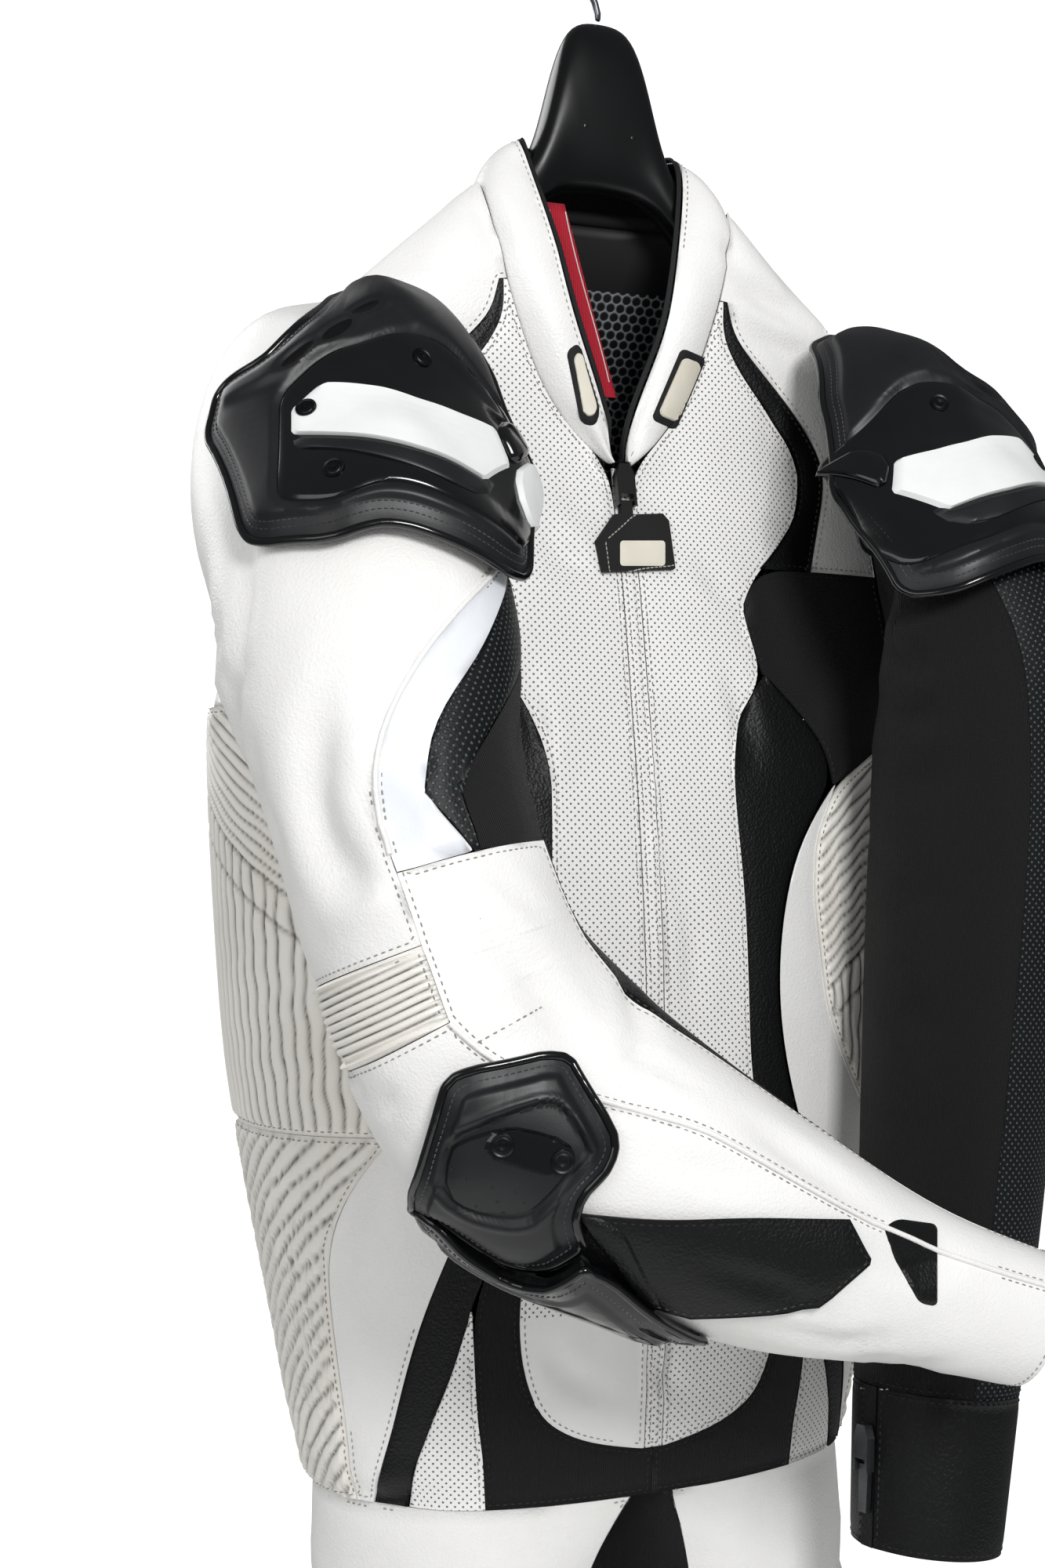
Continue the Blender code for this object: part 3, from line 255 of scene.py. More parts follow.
def makeLights():
    for name, (place, size, power, colour) in lights.items():
        data = bpy.data.lights.new(name, "AREA")
        data.size, data.energy, data.color = size, power, toLinear(colour)[:3]
        lamp = newObject(name, data)
        lamp.location = Vector((0, 0, viewer["height"])) + Vector(place)
        aim = Vector((0, 0, viewer["height"])) - lamp.location
        lamp.rotation_euler = aim.to_track_quat("-Z", "Y").to_euler()
    world = bpy.data.worlds.new("studio")
    bpy.context.scene.world = world
    world.use_nodes = True
    tree = world.node_tree
    glow = tree.nodes["Background"]
    glow.inputs["Color"].default_value = toLinear("#FCFDFF")
    glow.inputs["Strength"].default_value = room["glow"]
    wall = addNode(tree, "Background", {"Color": toLinear("#FFFFFF"), "Strength": room["wall"]})
    dim = addNode(tree, "Background", {"Color": toLinear("#FCFDFF"), "Strength": room["mirrored"]})
    path = addNode(tree, "LightPath")
    unseen = addNode(tree, "MixShader", None, {0: path.outputs["Is Glossy Ray"], 1: glow, 2: dim})
    both = addNode(tree, "MixShader", None, {0: path.outputs["Is Camera Ray"], 1: unseen, 2: wall})
    tree.links.new(both.outputs[0], tree.nodes["World Output"].inputs["Surface"])
    bpy.context.scene.view_settings.view_transform = "Standard"


def makeFloor():
    deselectAll()
    bpy.ops.mesh.primitive_plane_add(size=room["floor"], location=(0, 0, cadBounds[0][2] - room["below"]))
    finish = bpy.data.materials.new("painted_studio_floor")
    finish.use_nodes = True
    finish.node_tree.nodes["Principled BSDF"].inputs["Base Color"].default_value = toLinear("#F6F6F4")
    finish.node_tree.nodes["Principled BSDF"].inputs["Roughness"].default_value = 0.8
    floor = modelled("floor", finish)
    bpy.ops.object.transform_apply(location=True, rotation=True, scale=True)


makeCamera()
makeLights()
makeFloor()
print("camera, lights and floor made")


def startMaterial(name, colour, settings):
    material = bpy.data.materials.new(name)
    material.use_nodes = True
    tree = material.node_tree
    shader = tree.nodes["Principled BSDF"]
    shader.inputs["Base Color"].default_value = toLinear(colour)
    for socket, value in settings.items():
        shader.inputs[socket].default_value = value
    coords = addNode(tree, "TexCoord")
    return material, tree, shader, coords


def mixed(tree, share, first, second):
    # Two colours mixed; the first may come from a node.
    mix = addNode(tree, "Mix", {"data_type": "RGBA"}, {0: share})
    if isinstance(first, str):
        mix.inputs[6].default_value = toLinear(first)
    else:
        tree.links.new(first, mix.inputs[6])
    mix.inputs[7].default_value = toLinear(second)
    return mix.outputs[2]


def joinShader(tree, shader, colour, bump):
    tree.links.new(colour, shader.inputs["Base Color"])
    tree.links.new(bump.outputs[0], shader.inputs["Normal"])


def grainNodes(tree, coords, size, strength, distance=0.0004):
    # Pebbles of the grain size, broken up by a finer noise.
    pebbles = addNode(tree, "TexVoronoi", {"feature": "SMOOTH_F1", "Scale": 1 / size},
                      {"Vector": coords.outputs["Object"]})
    noise = addNode(tree, "TexNoise", {"Scale": 0.35 / size, "Detail": 3.0},
                    {"Vector": coords.outputs["Object"]})
    fine = noise.outputs["Factor" if "Factor" in noise.outputs else "Fac"]
    height = calc(tree, "Math", "MULTIPLY_ADD", fine, 0.6, pebbles.outputs["Distance"])
    return addNode(tree, "Bump", {"Strength": strength, "Distance": distance}, {"Height": height})


def mottle(tree, coords, scale, light, dark):
    # Slow colour change over the piece, as a coated or dyed skin has.
    noise = addNode(tree, "TexNoise", {"Scale": scale, "Detail": 4.0, "Roughness": 0.6},
                    {"Vector": coords.outputs["Object"]})
    ramp = addNode(tree, "ValToRGB", None, {0: noise})
    ramp.color_ramp.elements[0].position = 0.3
    ramp.color_ramp.elements[0].color = toLinear(dark)
    ramp.color_ramp.elements[1].position = 0.7
    ramp.color_ramp.elements[1].color = toLinear(light)
    return ramp


def holeMask(tree, pitch, rise, radius):
    # Round holes in staggered rows on the panel's flat pattern, in metres.
    pattern = addNode(tree, "UVMap", {"uv_map": "pattern"})
    cells = calc(tree, "VectorMath", "MULTIPLY", pattern.outputs["UV"], (1 / pitch, 1 / rise, 0))
    spots = []
    for shift in (0.0, 0.5):
        moved = calc(tree, "VectorMath", "ADD", cells, (shift, shift, 0))
        part = calc(tree, "VectorMath", "FRACTION", moved)
        centred = calc(tree, "VectorMath", "SUBTRACT", part, (0.5, 0.5, 0))
        sized = calc(tree, "VectorMath", "MULTIPLY", centred, (pitch, rise, 0))
        spots.append(calc(tree, "VectorMath", "LENGTH", sized).outputs["Value"])
    nearest = calc(tree, "Math", "MINIMUM", *spots)
    return addNode(tree, "MapRange", {"interpolation_type": "SMOOTHSTEP", "To Min": 1.0, "To Max": 0.0,
                                      "From Min": radius * 0.75, "From Max": radius * 1.2},
                   {"Value": nearest})


def leather(name, colour, shade, settings, grain, strength, holes=None, valleyShade=None, lowest=None):
    # holes is (pitch across, pitch along, radius, colour) where the skin is perforated; the valley colour is
    # painted shade in stitched valleys, whose share the piece marks with an attribute. No holes are punched
    # below lowest.
    material, tree, shader, coords = startMaterial(name, colour, settings)
    tone = mottle(tree, coords, 14, colour, shade)
    bump = grainNodes(tree, coords, grain, strength)
    colourOut = tone.outputs["Color"]
    # Painted shade: where the piece's valley attribute is high, the colour is mixed towards a dark tone.
    if valleyShade:
        depth = addNode(tree, "Attribute", {"attribute_name": "valleyShade"})
        colourOut = mixed(tree, depth.outputs["Fac"], colourOut, valleyShade)
    if holes:
        mask = holeMask(tree, *holes[:3])
        if lowest:
            parts = addNode(tree, "SeparateXYZ", None, {0: coords.outputs["Object"]})
            above = calc(tree, "Math", "GREATER_THAN", parts.outputs["Z"], lowest)
            mask = calc(tree, "Math", "MULTIPLY", mask, above)
        colourOut = mixed(tree, mask.outputs[0], colourOut, holes[3])
        depth = calc(tree, "Math", "MULTIPLY", mask, -1.0)
        bump = addNode(tree, "Bump", {"Strength": 0.6, "Distance": 0.0006}, {"Height": depth, "Normal": bump})
    joinShader(tree, shader, colourOut, bump)
    return material


def knit(name, colour, ribPitch):
    # Stretch knit: fine upright wales crossed by the stitches, matte with a faint sheen.
    material, tree, shader, _ = startMaterial(name, colour, {"Roughness": 0.92, "Sheen Weight": 0.05,
                                                             "Sheen Roughness": 0.5})
    pattern = addNode(tree, "UVMap", {"uv_map": "pattern"})
    parts = addNode(tree, "SeparateXYZ", None, {0: pattern.outputs["UV"]})
    waves = []
    for socket, pitch in (("X", ribPitch), ("Y", ribPitch * 0.6)):
        turn = calc(tree, "Math", "MULTIPLY", parts.outputs[socket], 2 * math.pi / pitch)
        waves.append(calc(tree, "Math", "SINE", turn))
    both = calc(tree, "Math", "MULTIPLY_ADD", waves[1], 0.35, waves[0])
    bump = addNode(tree, "Bump", {"Strength": 0.55, "Distance": 0.0005}, {"Height": both})
    # Painted shade and highlight: the colour is darker in the troughs of the wales and lighter on their
    # crests.
    ramp = addNode(tree, "MapRange", {"From Min": -1.3, "From Max": 1.3, "To Min": 0.55, "To Max": 1.45},
                   {"Value": both})
    tone = addNode(tree, "VectorMath", {"operation": "SCALE", 0: toLinear(colour)[:3]}, {"Scale": ramp})
    joinShader(tree, shader, tone.outputs[0], bump)
    return material


def plastic(name, colour, shade, roughness, grain=0.0009, strength=0.15, coat=0.0):
    material, tree, shader, coords = startMaterial(name, colour, {"Roughness": roughness, "IOR": 1.5,
                                                                  "Coat Weight": coat,
                                                                  "Coat Roughness": 0.08})
    tone = mottle(tree, coords, 30, colour, shade)
    bump = grainNodes(tree, coords, grain, strength, 0.0001)
    joinShader(tree, shader, tone.outputs["Color"], bump)
    return material


def metal(name, colour, shade, roughness):
    material, tree, shader, coords = startMaterial(name, colour, {"Roughness": roughness, "Metallic": 1.0})
    tone = mottle(tree, coords, 90, colour, shade)
    scratches = addNode(tree, "TexNoise", {"Scale": 900.0, "Detail": 2.0},
                        {"Vector": coords.outputs["Object"]})
    bump = addNode(tree, "Bump", {"Strength": 0.1, "Distance": 0.0001}, {"Height": scratches})
    joinShader(tree, shader, tone.outputs["Color"], bump)
    return material


liningValues = {"border": -0.205, "pitch": 0.0062, "cell": 0.0028, "satin": "#0C0C0E", "net": "#8B9094"}


def meshLining(name):
    # Black satin above a border, and below it a grey net with a black cell in each opening.
    v = liningValues
    material, tree, shader, coords = startMaterial(name, v["satin"], {"Roughness": 0.5, "Sheen Weight": 0.2,
                                                                      "Sheen Roughness": 0.4})
    cells = holeMask(tree, v["pitch"], v["pitch"] * math.sqrt(3), v["cell"])
    parts = addNode(tree, "SeparateXYZ", None, {0: coords.outputs["Object"]})
    below = calc(tree, "Math", "LESS_THAN", parts.outputs["Z"], v["border"])
    shown = calc(tree, "Math", "MULTIPLY", calc(tree, "Math", "SUBTRACT", 1.0, cells), below)
    bump = addNode(tree, "Bump", {"Strength": 0.5, "Distance": 0.0008}, {"Height": shown})
    joinShader(tree, shader, mixed(tree, shown.outputs[0], v["satin"], v["net"]), bump)
    return material


finishes = {
    # Cowhide with a white polyurethane coat: half-gloss, broad soft highlights over small pebbles.
    "white": leather("white_coated_cowhide", "#F4F3F1", "#EBEAE7",
                     {"Roughness": 0.42, "IOR": 1.48, "Coat Weight": 0.12, "Coat Roughness": 0.3},
                     0.0012, 0.6),
    # The same hide punched with 1.2 mm holes, which show as grey dots.
    "whitePunched": leather("white_punched_cowhide", "#F5F4F2", "#ECEBE8",
                            {"Roughness": 0.45, "IOR": 1.48}, 0.0011, 0.2,
                            (0.0043, 0.0043, 0.00058, "#63666B")),
    "whitePunchedBib": leather("white_part_punched_cowhide", "#F5F4F2", "#ECEBE8",
                               {"Roughness": 0.45, "IOR": 1.48}, 0.0011, 0.2,
                               (0.0043, 0.0043, 0.00058, "#63666B"), lowest=-0.765),
    # Drum-dyed black cowhide: deep grain that breaks the light into small glints.
    "black": leather("black_grained_cowhide", "#0F1011", "#0A0B0C",
                     {"Roughness": 0.46, "IOR": 1.48, "Specular IOR Level": 0.35}, 0.0013, 0.8),
    # Black hide punched with holes; a grey-green backing shows through them.
    "blackPunched": leather("black_punched_cowhide", "#121315", "#0C0D0F",
                            {"Roughness": 0.5, "IOR": 1.48, "Specular IOR Level": 0.35}, 0.0012, 0.4,
                            (0.0046, 0.0046, 0.00065, "#4A5657")),
    # Pearl-coated hide: bluish white, a little glossier than the white hide.
    "pearl": leather("pearl_coated_cowhide", "#EDEFF2", "#E2E6EB",
                     {"Roughness": 0.33, "IOR": 1.5, "Coat Weight": 0.25, "Coat Roughness": 0.2},
                     0.0012, 0.15),
    "knit": knit("black_aramid_stretch_knit", "#070708", 0.0012),
    "lining": knit("black_satin_lining", "#131316", 0.0012),
    # Glass-filled nylon armour shell, spark-eroded mould: satin black.
    "shell": plastic("black_moulded_nylon", "#1B1C1F", "#131416", 0.42),
    # Polished moulded ABS: near mirror in its curves.
    "gloss": plastic("black_polished_abs", "#0C0D0F", "#08090A", 0.16, 0.002, 0.03, 0.4),
    # Injection-moulded polystyrene hanger: smooth, half gloss.
    "hanger": plastic("black_moulded_polystyrene", "#0C0D0F", "#08090A", 0.24, 0.003, 0.05),
    "steel": metal("nickel_plated_steel", "#9A9DA2", "#7F8287", 0.3),
    # Zinc die casting with a black lacquer, dull metal where it wears.
    "darkSteel": metal("blackened_zinc_casting", "#3A3B3E", "#26272A", 0.4),
    "redTape": knit("red_woven_tape", "#B0142A", 0.0011),
    "whiteThread": plastic("bonded_white_thread", "#D9D8D4", "#BFBEBA", 0.6, 0.0004, 0.3),
    # Pale thread on the white hides, painted grey: painted shade along its stitch lines.
    "greyThread": plastic("pale_thread_painted_shade", "#A5A29B", "#8B8983", 0.6, 0.0004, 0.3),
    "blackThread": plastic("bonded_black_thread", "#2C2D31", "#1B1C1F", 0.6, 0.0004, 0.3),
    # Thick waxed thread of the armour: black, painted mid grey to stand for its small glints (painted
    # highlight).
    "armourThread": plastic("black_thread_painted_glints", "#5A5B60", "#333438", 0.35, 0.0004, 0.3),
    # Soft-touch moulded ABS, dyed through: flat white.
    "insetWhite": plastic("white_moulded_abs", "#EEF0EE", "#E4E7E4", 0.45, 0.001, 0.05),
    # Painted shade: a near-black stand-in for the shade inside moulded slots and holes.
    "slotShade": plastic("painted_slot_shade", "#050506", "#030304", 0.3, 0.001, 0.05),
    # White hide over foam ribs, with painted shade greying the stitched valleys between them.
    "whiteRibbed": leather("white_ribbed_cowhide", "#F3F0EA", "#EAE6DE", {"Roughness": 0.46, "IOR": 1.48},
                           0.0011, 0.3, valleyShade="#5F5A52"),
    "neoprene": plastic("black_neoprene_edge", "#1A1B1D", "#101113", 0.8, 0.0006, 0.3),
    # Black lacquer over a zinc casting.
    "lacquer": plastic("black_lacquered_zinc", "#0E0E10", "#090A0B", 0.35, 0.001, 0.05),
    # Moulded rubber: a dull black that hardly mirrors.
    "rubber": plastic("black_moulded_rubber", "#0D0D0E", "#090909", 0.75, 0.0008, 0.3),
    # Satin above, and below it an open warp-knit mesh with round cells.
    "neckLining": meshLining("black_satin_and_mesh_lining"),
    "cream": plastic("cream_moulded_rubber", "#E6E1D2", "#DAD4C3", 0.5, 0.001, 0.1),
}
print("finishes made,", len(finishes))


hardFinishes = {
    "hanger_body": "hanger", "hanger_hook": "steel", "zip_slider": "lacquer", "zip_pull_tab": "rubber",
    "cuff_zip_slider": "steel", "cuff_zip_pull": "steel", "left_cuff_zip": "black",
    "shoulder_cup": "shell", "shoulder_plate": "gloss", "elbow_cup": "shell", "elbow_slider": "gloss",
    "elbow_plate": "gloss",
}


def kindOf(name, table):
    # The name of a mirrored piece ends in its side.
    return name if name in table else name.rsplit("_", 1)[0]


hardNodes = [name for name in nodes if kindOf(name, hardFinishes) in hardFinishes]
clothNodes = sorted(name for name in nodes if name not in hardNodes)
clothTree = treeOf(*(nodes[name] for name in clothNodes))
chestCentre = Vector((0, 0, viewer["height"]))
# Where each sheet of marks is held, and the way it is looked at.
sheets = {
    "back": (chestCentre + Vector((0, 1.5, 0)), Vector((0, -1, 0))),
    "left": (chestCentre + Vector((1.5, 0, 0)), Vector((-1, 0, 0))),
    "right": (chestCentre + Vector((-1.5, 0, 0)), Vector((1, 0, 0))),
}


def lookThrough(tree, sheet, side, rise):
    # Where a mark, in millimetres beside and above the chest's centre, falls on the surface.
    if sheet == "front":
        aim = ahead * viewer["distance"] + across * side * mm + up * rise * mm
        spot, normal, _, _ = tree.ray_cast(eye, aim.normalized())
    else:
        start, aim = sheets[sheet]
        beside = aim.cross(up)
        spot, normal, _, _ = tree.ray_cast(start + beside * side * mm + up * rise * mm, aim)
    return spot, normal


creases = {
    # sheet: rows of width and depth in mm (below 0 a trough, above 0 a ridge), then points beside and above
    "front": (
        # the right sleeve's long soft trough outside the piping, the lump it leaves, the puckers beside it
        (20, -5.5, (-149, 59), (-160, 25), (-162, -6), (-156, -33), (-143, -51), (-130, -66)),
        (19, 4.5, (-146, -74), (-128, -66), (-117, -55)),
        (12, -3.0, (-121, 54), (-131, 47), (-138, 38)),
        (8, -2.4, (-131, -7), (-116, -14), (-102, -23)),
        (7, -2.0, (-126, -32), (-106, -29)),
        (7, -1.7, (-118, -40), (-100, -51)),
        (6, -1.6, (-101, 36), (-112, 12)),
        (6, -1.3, (-93, 20), (-104, 2)),
        (7, -2.2, (-88, 114), (-90, 96)),
        (8, -1.8, (-104, 121), (-99, 104)),
        (15, -3.2, (-70, -68), (-40, -104), (-21, -133), (-9, -149)),
        (10, -2.0, (-82, -51), (-57, -82)),
        (9, -2.2, (-70, -41), (-33, -72)),
        (7, -1.6, (-61, -145), (-42, -139), (-23, -142)),
        (10, -3.0, (-137, -171), (-109, -178)),
        (8, -2.0, (-128, -190), (-106, -196)),
        (16, 3.0, (-204, 96), (-212, 60), (-214, 22)),
        (15, -3.5, (-196, 112), (-204, 78), (-205, 42)),
        (12, -2.6, (-196, 28), (-190, -8), (-178, -38)),
        # right forearm
        (12, -2.4, (-20, -163), (14, -171), (48, -186)),
        (10, -2.0, (24, -205), (58, -214), (92, -222)),
        (12, -2.6, (84, -190), (112, -208), (150, -236)),
        (9, -1.8, (60, -268), (96, -280), (126, -296)),
        (8, -1.6, (20, -150), (52, -168)),
        (10, -2.2, (96, -304), (136, -312), (164, -306)),
        # chest and collar
        (16, -3.0, (-36, 148), (-24, 128), (-6, 116)),
        (12, -2.2, (-14, 160), (-8, 146)),
        (14, -3.0, (94, 200), (100, 160), (97, 130)),
        (12, -2.2, (106, 190), (109, 150)),
        (12, -2.5, (70, 62), (80, 34), (83, 8)),
        (11, -2.0, (52, 128), (66, 108), (82, 96)),
        (13, -2.4, (40, -40), (52, -84), (50, -128)),
        (12, -2.2, (10, -96), (22, -136), (20, -168)),
        (5, 1.3, (24, 112), (29, 38), (30, -40), (31, -112)),
        (12, -2.0, (-44, 70), (-36, 30), (-40, -10)),
        (12, 2.6, (34, 190), (22, 178), (10, 172)),
        (9, -1.8, (-20, 206), (-8, 190), (0, 181)),
        # shoulders
        (14, -3.5, (-132, 294), (-112, 306), (-98, 318)),
        (12, -2.6, (-74, 332), (-62, 312), (-56, 296)),
        (12, -3.2, (74, 282), (92, 268), (112, 256)),
        (11, -2.6, (84, 252), (102, 240), (118, 236)),
        (10, -2.2, (66, 300), (78, 288)),
        # hip, bib and thighs
        (12, -2.4, (-120, -200), (-128, -244), (-132, -290)),
        (10, -2.0, (-30, -314), (-18, -330), (2, -338)),
        (10, -2.0, (28, -322), (44, -338)),
        (14, -3.0, (-150, -392), (-120, -400), (-88, -396)),
        (14, -3.0, (92, -394), (60, -402), (30, -400)),
        # left sleeve: slack waves down the leather and the knit
        (14, -3.2, (146, 106), (162, 100), (180, 104)),
        (15, -3.6, (148, 78), (166, 66), (184, 66)),
        (15, -3.2, (152, 46), (170, 38), (190, 44)),
        (13, -2.6, (158, 12), (176, 2), (196, 10)),
        (16, -3.0, (146, -40), (168, -58), (196, -62)),
        (16, -3.0, (150, -112), (172, -128), (198, -124)),
        (14, -2.6, (148, -180), (170, -192), (194, -186)),
        (14, -3.0, (150, -254), (172, -268), (194, -262)),
        (12, -2.4, (150, -318), (170, -326), (188, -320)),
    ),
    "right": (
        (16, -4.0, (60, 96), (74, 60), (70, 20)),
        (14, -3.2, (96, 74), (104, 36), (98, 2)),
        (12, -2.6, (60, -20), (82, -34), (104, -36)),
        (14, -3.0, (96, 130), (112, 104), (116, 78)),
        (10, -2.2, (128, -120), (152, -128), (172, -140)),
        (12, -2.4, (150, -176), (172, -190), (186, -212)),
        (16, -3.0, (-96, 20), (-100, -40), (-94, -96)),
        (14, -2.6, (-110, -190), (-104, -250), (-112, -310)),
        (16, -3.4, (-60, -430), (-20, -446), (24, -440)),
        (16, -3.0, (-50, -620), (-6, -640), (34, -630)),
        (14, -3.4, (-44, -700), (0, -712), (44, -702)),
        (14, -3.0, (-40, -760), (4, -776), (40, -764)),
        (12, -2.8, (-30, -960), (10, -972), (44, -964)),
    ),
    "left": (
        (15, -3.6, (-66, 92), (-84, 62), (-88, 30)),
        (14, -3.0, (-100, 20), (-112, -14), (-108, -50)),
        (13, -2.6, (-72, -60), (-94, -74), (-120, -70)),
        (14, -3.0, (-80, -150), (-104, -164), (-128, -158)),
        (13, -2.6, (-84, -236), (-108, -248), (-132, -240)),
        (16, -3.0, (92, 30), (98, -30), (92, -90)),
        (16, -3.4, (58, -432), (14, -448), (-26, -440)),
        (15, -3.2, (46, -610), (4, -628), (-36, -620)),
        (14, -3.4, (42, -704), (-2, -716), (-42, -706)),
        (14, -2.8, (38, -770), (-4, -782), (-38, -774)),
        (12, -2.6, (30, -950), (-8, -962), (-42, -956)),
    ),
    "back": (
        (20, -4.0, (-120, 240), (-96, 206), (-90, 164)),
        (20, -4.2, (116, 246), (98, 210), (84, 172)),
        (16, -3.2, (-150, 196), (-134, 160), (-136, 120)),
        (16, -3.0, (148, 190), (138, 152), (132, 116)),
        (22, -3.6, (-60, 60), (-20, 48), (34, 54)),
        (18, -3.0, (70, 20), (24, 6), (-18, 10)),
        (22, -4.0, (-90, -60), (-40, -76), (14, -70)),
        (20, -3.6, (96, -88), (50, -104), (4, -98)),
        (20, -3.8, (-84, -150), (-34, -168), (20, -160)),
        (18, -3.2, (92, -196), (46, -212), (-8, -204)),
        (22, -4.0, (-100, -330), (-60, -352), (-20, -358)),
        (22, -4.0, (104, -322), (60, -350), (22, -360)),
        (18, -3.6, (-130, -460), (-84, -476), (-40, -468)),
        (18, -3.4, (128, -448), (86, -470), (44, -464)),
        (18, -3.8, (-140, -690), (-92, -706), (-46, -696)),
        (18, -3.8, (138, -698), (94, -714), (48, -702)),
        (16, -3.2, (-134, -770), (-90, -784), (-50, -778)),
        (16, -3.0, (132, -780), (92, -790), (54, -780)),
    ),
}
creaseValues = {
    "strength": 1.35,
    "step": 1 / 8,             # of the way from one point to the next
    "reach": 2.0,              # widths from its line to where a crease ends
    "steep": 1.6,              # how fast its section falls away from the line
    "ends": 0.7,               # how bluntly it fades along the line
}


def alongMarks(marks, place):
    # A place on the line through marks, counted in marks.
    return [np.interp(place, range(len(marks)), [mark[k] for mark in marks]) for k in (0, 1)]


def creaseField(points):
    # How far the creases move each point.
    moved = np.zeros_like(points)
    steep = creaseValues["steep"]
    for spots, aims, width, depth in creaseLines:
        reach = creaseValues["reach"] * width
        low, high = spots.min(axis=0) - reach, spots.max(axis=0) + reach
        near = np.where(((points > low) & (points < high)).all(axis=1))[0]
        if not len(near):
            continue
        gaps = np.linalg.norm(points[near][:, None] - spots[None], axis=2)
        best = gaps.argmin(axis=1)
        gap = gaps[np.arange(len(near)), best] / width
        share = best / (len(spots) - 1)
        fade = np.sin(math.pi * np.clip(share * 0.9 + 0.05, 0, 1)) ** creaseValues["ends"]
        profile = (1 - steep * gap ** 2) * np.exp(-steep * gap ** 2)
        moved[near] += aims[best] * (profile * fade * depth)[:, None]
    return moved


def layCrease(sheet, width, depth, marks):
    # One crease: its spots on the cloth, the way out of the cloth at each, its width and its depth.
    spots, aims = [], []
    for place in np.arange(0, len(marks) - 1 + 1e-6, creaseValues["step"]):
        hit = lookThrough(clothTree, sheet, *alongMarks(marks, place))
        if hit[0] is not None:
            spots.append(hit[0])
            aims.append(hit[1])
    smooth = np.array([sum(aims[max(0, k - 3):k + 4], Vector()).normalized() for k in range(len(aims))])
    return np.array(spots), smooth, width * mm, depth * creaseValues["strength"] * mm


creaseLines = [layCrease(sheet, width, depth, marks) for sheet, rows in creases.items()
               for width, depth, *marks in rows]
creaseLines = [line for line in creaseLines if len(line[0]) > 1]
print("creases laid,", len(creaseLines))


# The sides of a panel, as numbers of its materials.
outerSide, innerSide, rimSide = 0, 1, 2
panelValues = {
    "level": 2,
    "groupAngle": math.radians(40),
    "rimAngle": math.radians(60),
    "seamDip": 0.0007,
    "seamReach": 0.0045,
    "bent": 0.32,                  # a pattern that fills less of its box than this is a bent strip
    "narrowest": 0.0102,
    "ribCrease": 0.75,
    "ribAngle": -0.12,             # radians; a hollower edge between ribs keeps this crease
    "thickest": 0.05,              # metres looked through a wall
    "walls": (0.0027, 0.0064),     # a plain and a ribbed panel's wall is thinner than this
}
sharpPanels = {"right_forearm_band": math.radians(18)}
ribbedNodes = ("flank_accordion_left", "flank_accordion_right", "hip_accordion_left", "hip_accordion_right",
               "right_elbow_accordion")


def faceGroups(edit, limit):
    # Faces joined across edges that are flatter than the limit.
    edit.faces.ensure_lookup_table()
    group = [-1] * len(edit.faces)
    groups = []
    for seed in edit.faces:
        if group[seed.index] >= 0:
            continue
        members, waiting = [], [seed]
        group[seed.index] = len(groups)
        while waiting:
            face = waiting.pop()
            members.append(face)
            for edge in face.edges:
                if len(edge.link_faces) != 2 or edge.calc_face_angle(0) > limit:
                    continue
                for other in edge.link_faces:
                    if group[other.index] < 0:
                        group[other.index] = len(groups)
                        waiting.append(other)
        groups.append(members)
    return groups


# Lines down the middle of each hollow, which tell a panel's outer side from its inner side.
middles = {
    "torso": ((0, 0.03, -0.95), (0, 0.03, -0.34)),
    "neck": ((0, 0.03, -0.50), (0, 0.03, -0.12)),
    "right_": ((-0.150, 0.00, -0.36), (-0.176, -0.084, -0.380), (-0.167, -0.132, -0.490),
               (-0.153, -0.150, -0.560), (-0.122, -0.166, -0.625), (0.001, -0.200, -0.704),
               (0.125, -0.222, -0.750)),
    "left_": ((0.150, 0.00, -0.36), (0.179, -0.084, -0.380), (0.178, -0.104, -0.490),
              (0.167, -0.107, -0.590), (0.142, -0.118, -0.800), (0.130, -0.125, -0.890)),
    "leg_left": ((0.0815, 0.027, -0.80), (0.092, 0.0, -1.19), (0.092, 0.040, -1.56)),
    "leg_right": ((-0.0815, 0.027, -0.80), (-0.092, 0.0, -1.19), (-0.092, 0.040, -1.56)),
}


def middleOf(name):
    if name.startswith("leg_"):
        return middles["leg_" + name.rsplit("_", 1)[1]]
    for start in ("right_", "left_"):
        if name.startswith(start):
            return middles[start]
    return middles["neck" if name in ("collar", "collar_trim", "neck_loop") else "torso"]


def awayFrom(line, spot):
    # Direction from the nearest place on a line to a spot.
    best = None
    for start, stop in zip(line, line[1:]):
        start, stop = Vector(start), Vector(stop)
        share = max(0.0, min(1.0, (spot - start).dot(stop - start) / (stop - start).length_squared))
        away = spot - start.lerp(stop, share)
        if best is None or away.length < best.length:
            best = away
    return best.normalized()


def sortSides(edit, name):
    # Marks each face as outer side, inner side or rim. A wall is thin below its faces, a rim is not.
    thickest = panelValues["walls"][name in ribbedNodes]
    tree = BVHTree.FromBMesh(edit)
    line = middleOf(name)
    for members in faceGroups(edit, panelValues["groupAngle"]):
        depths, facing = [], 0.0
        for face in members:
            spot = face.calc_center_median()
            hit = tree.ray_cast(spot - face.normal * 1e-5, -face.normal, panelValues["thickest"])
            depths.append(hit[3] if hit[0] is not None else panelValues["thickest"])
            facing += face.calc_area() * face.normal.dot(awayFrom(line, spot))
        thin = sorted(depths)[len(depths) // 2] < thickest
        side = rimSide if not thin else outerSide if facing > 0 else innerSide
        for face in members:
            face.material_index = side
            face.smooth = True


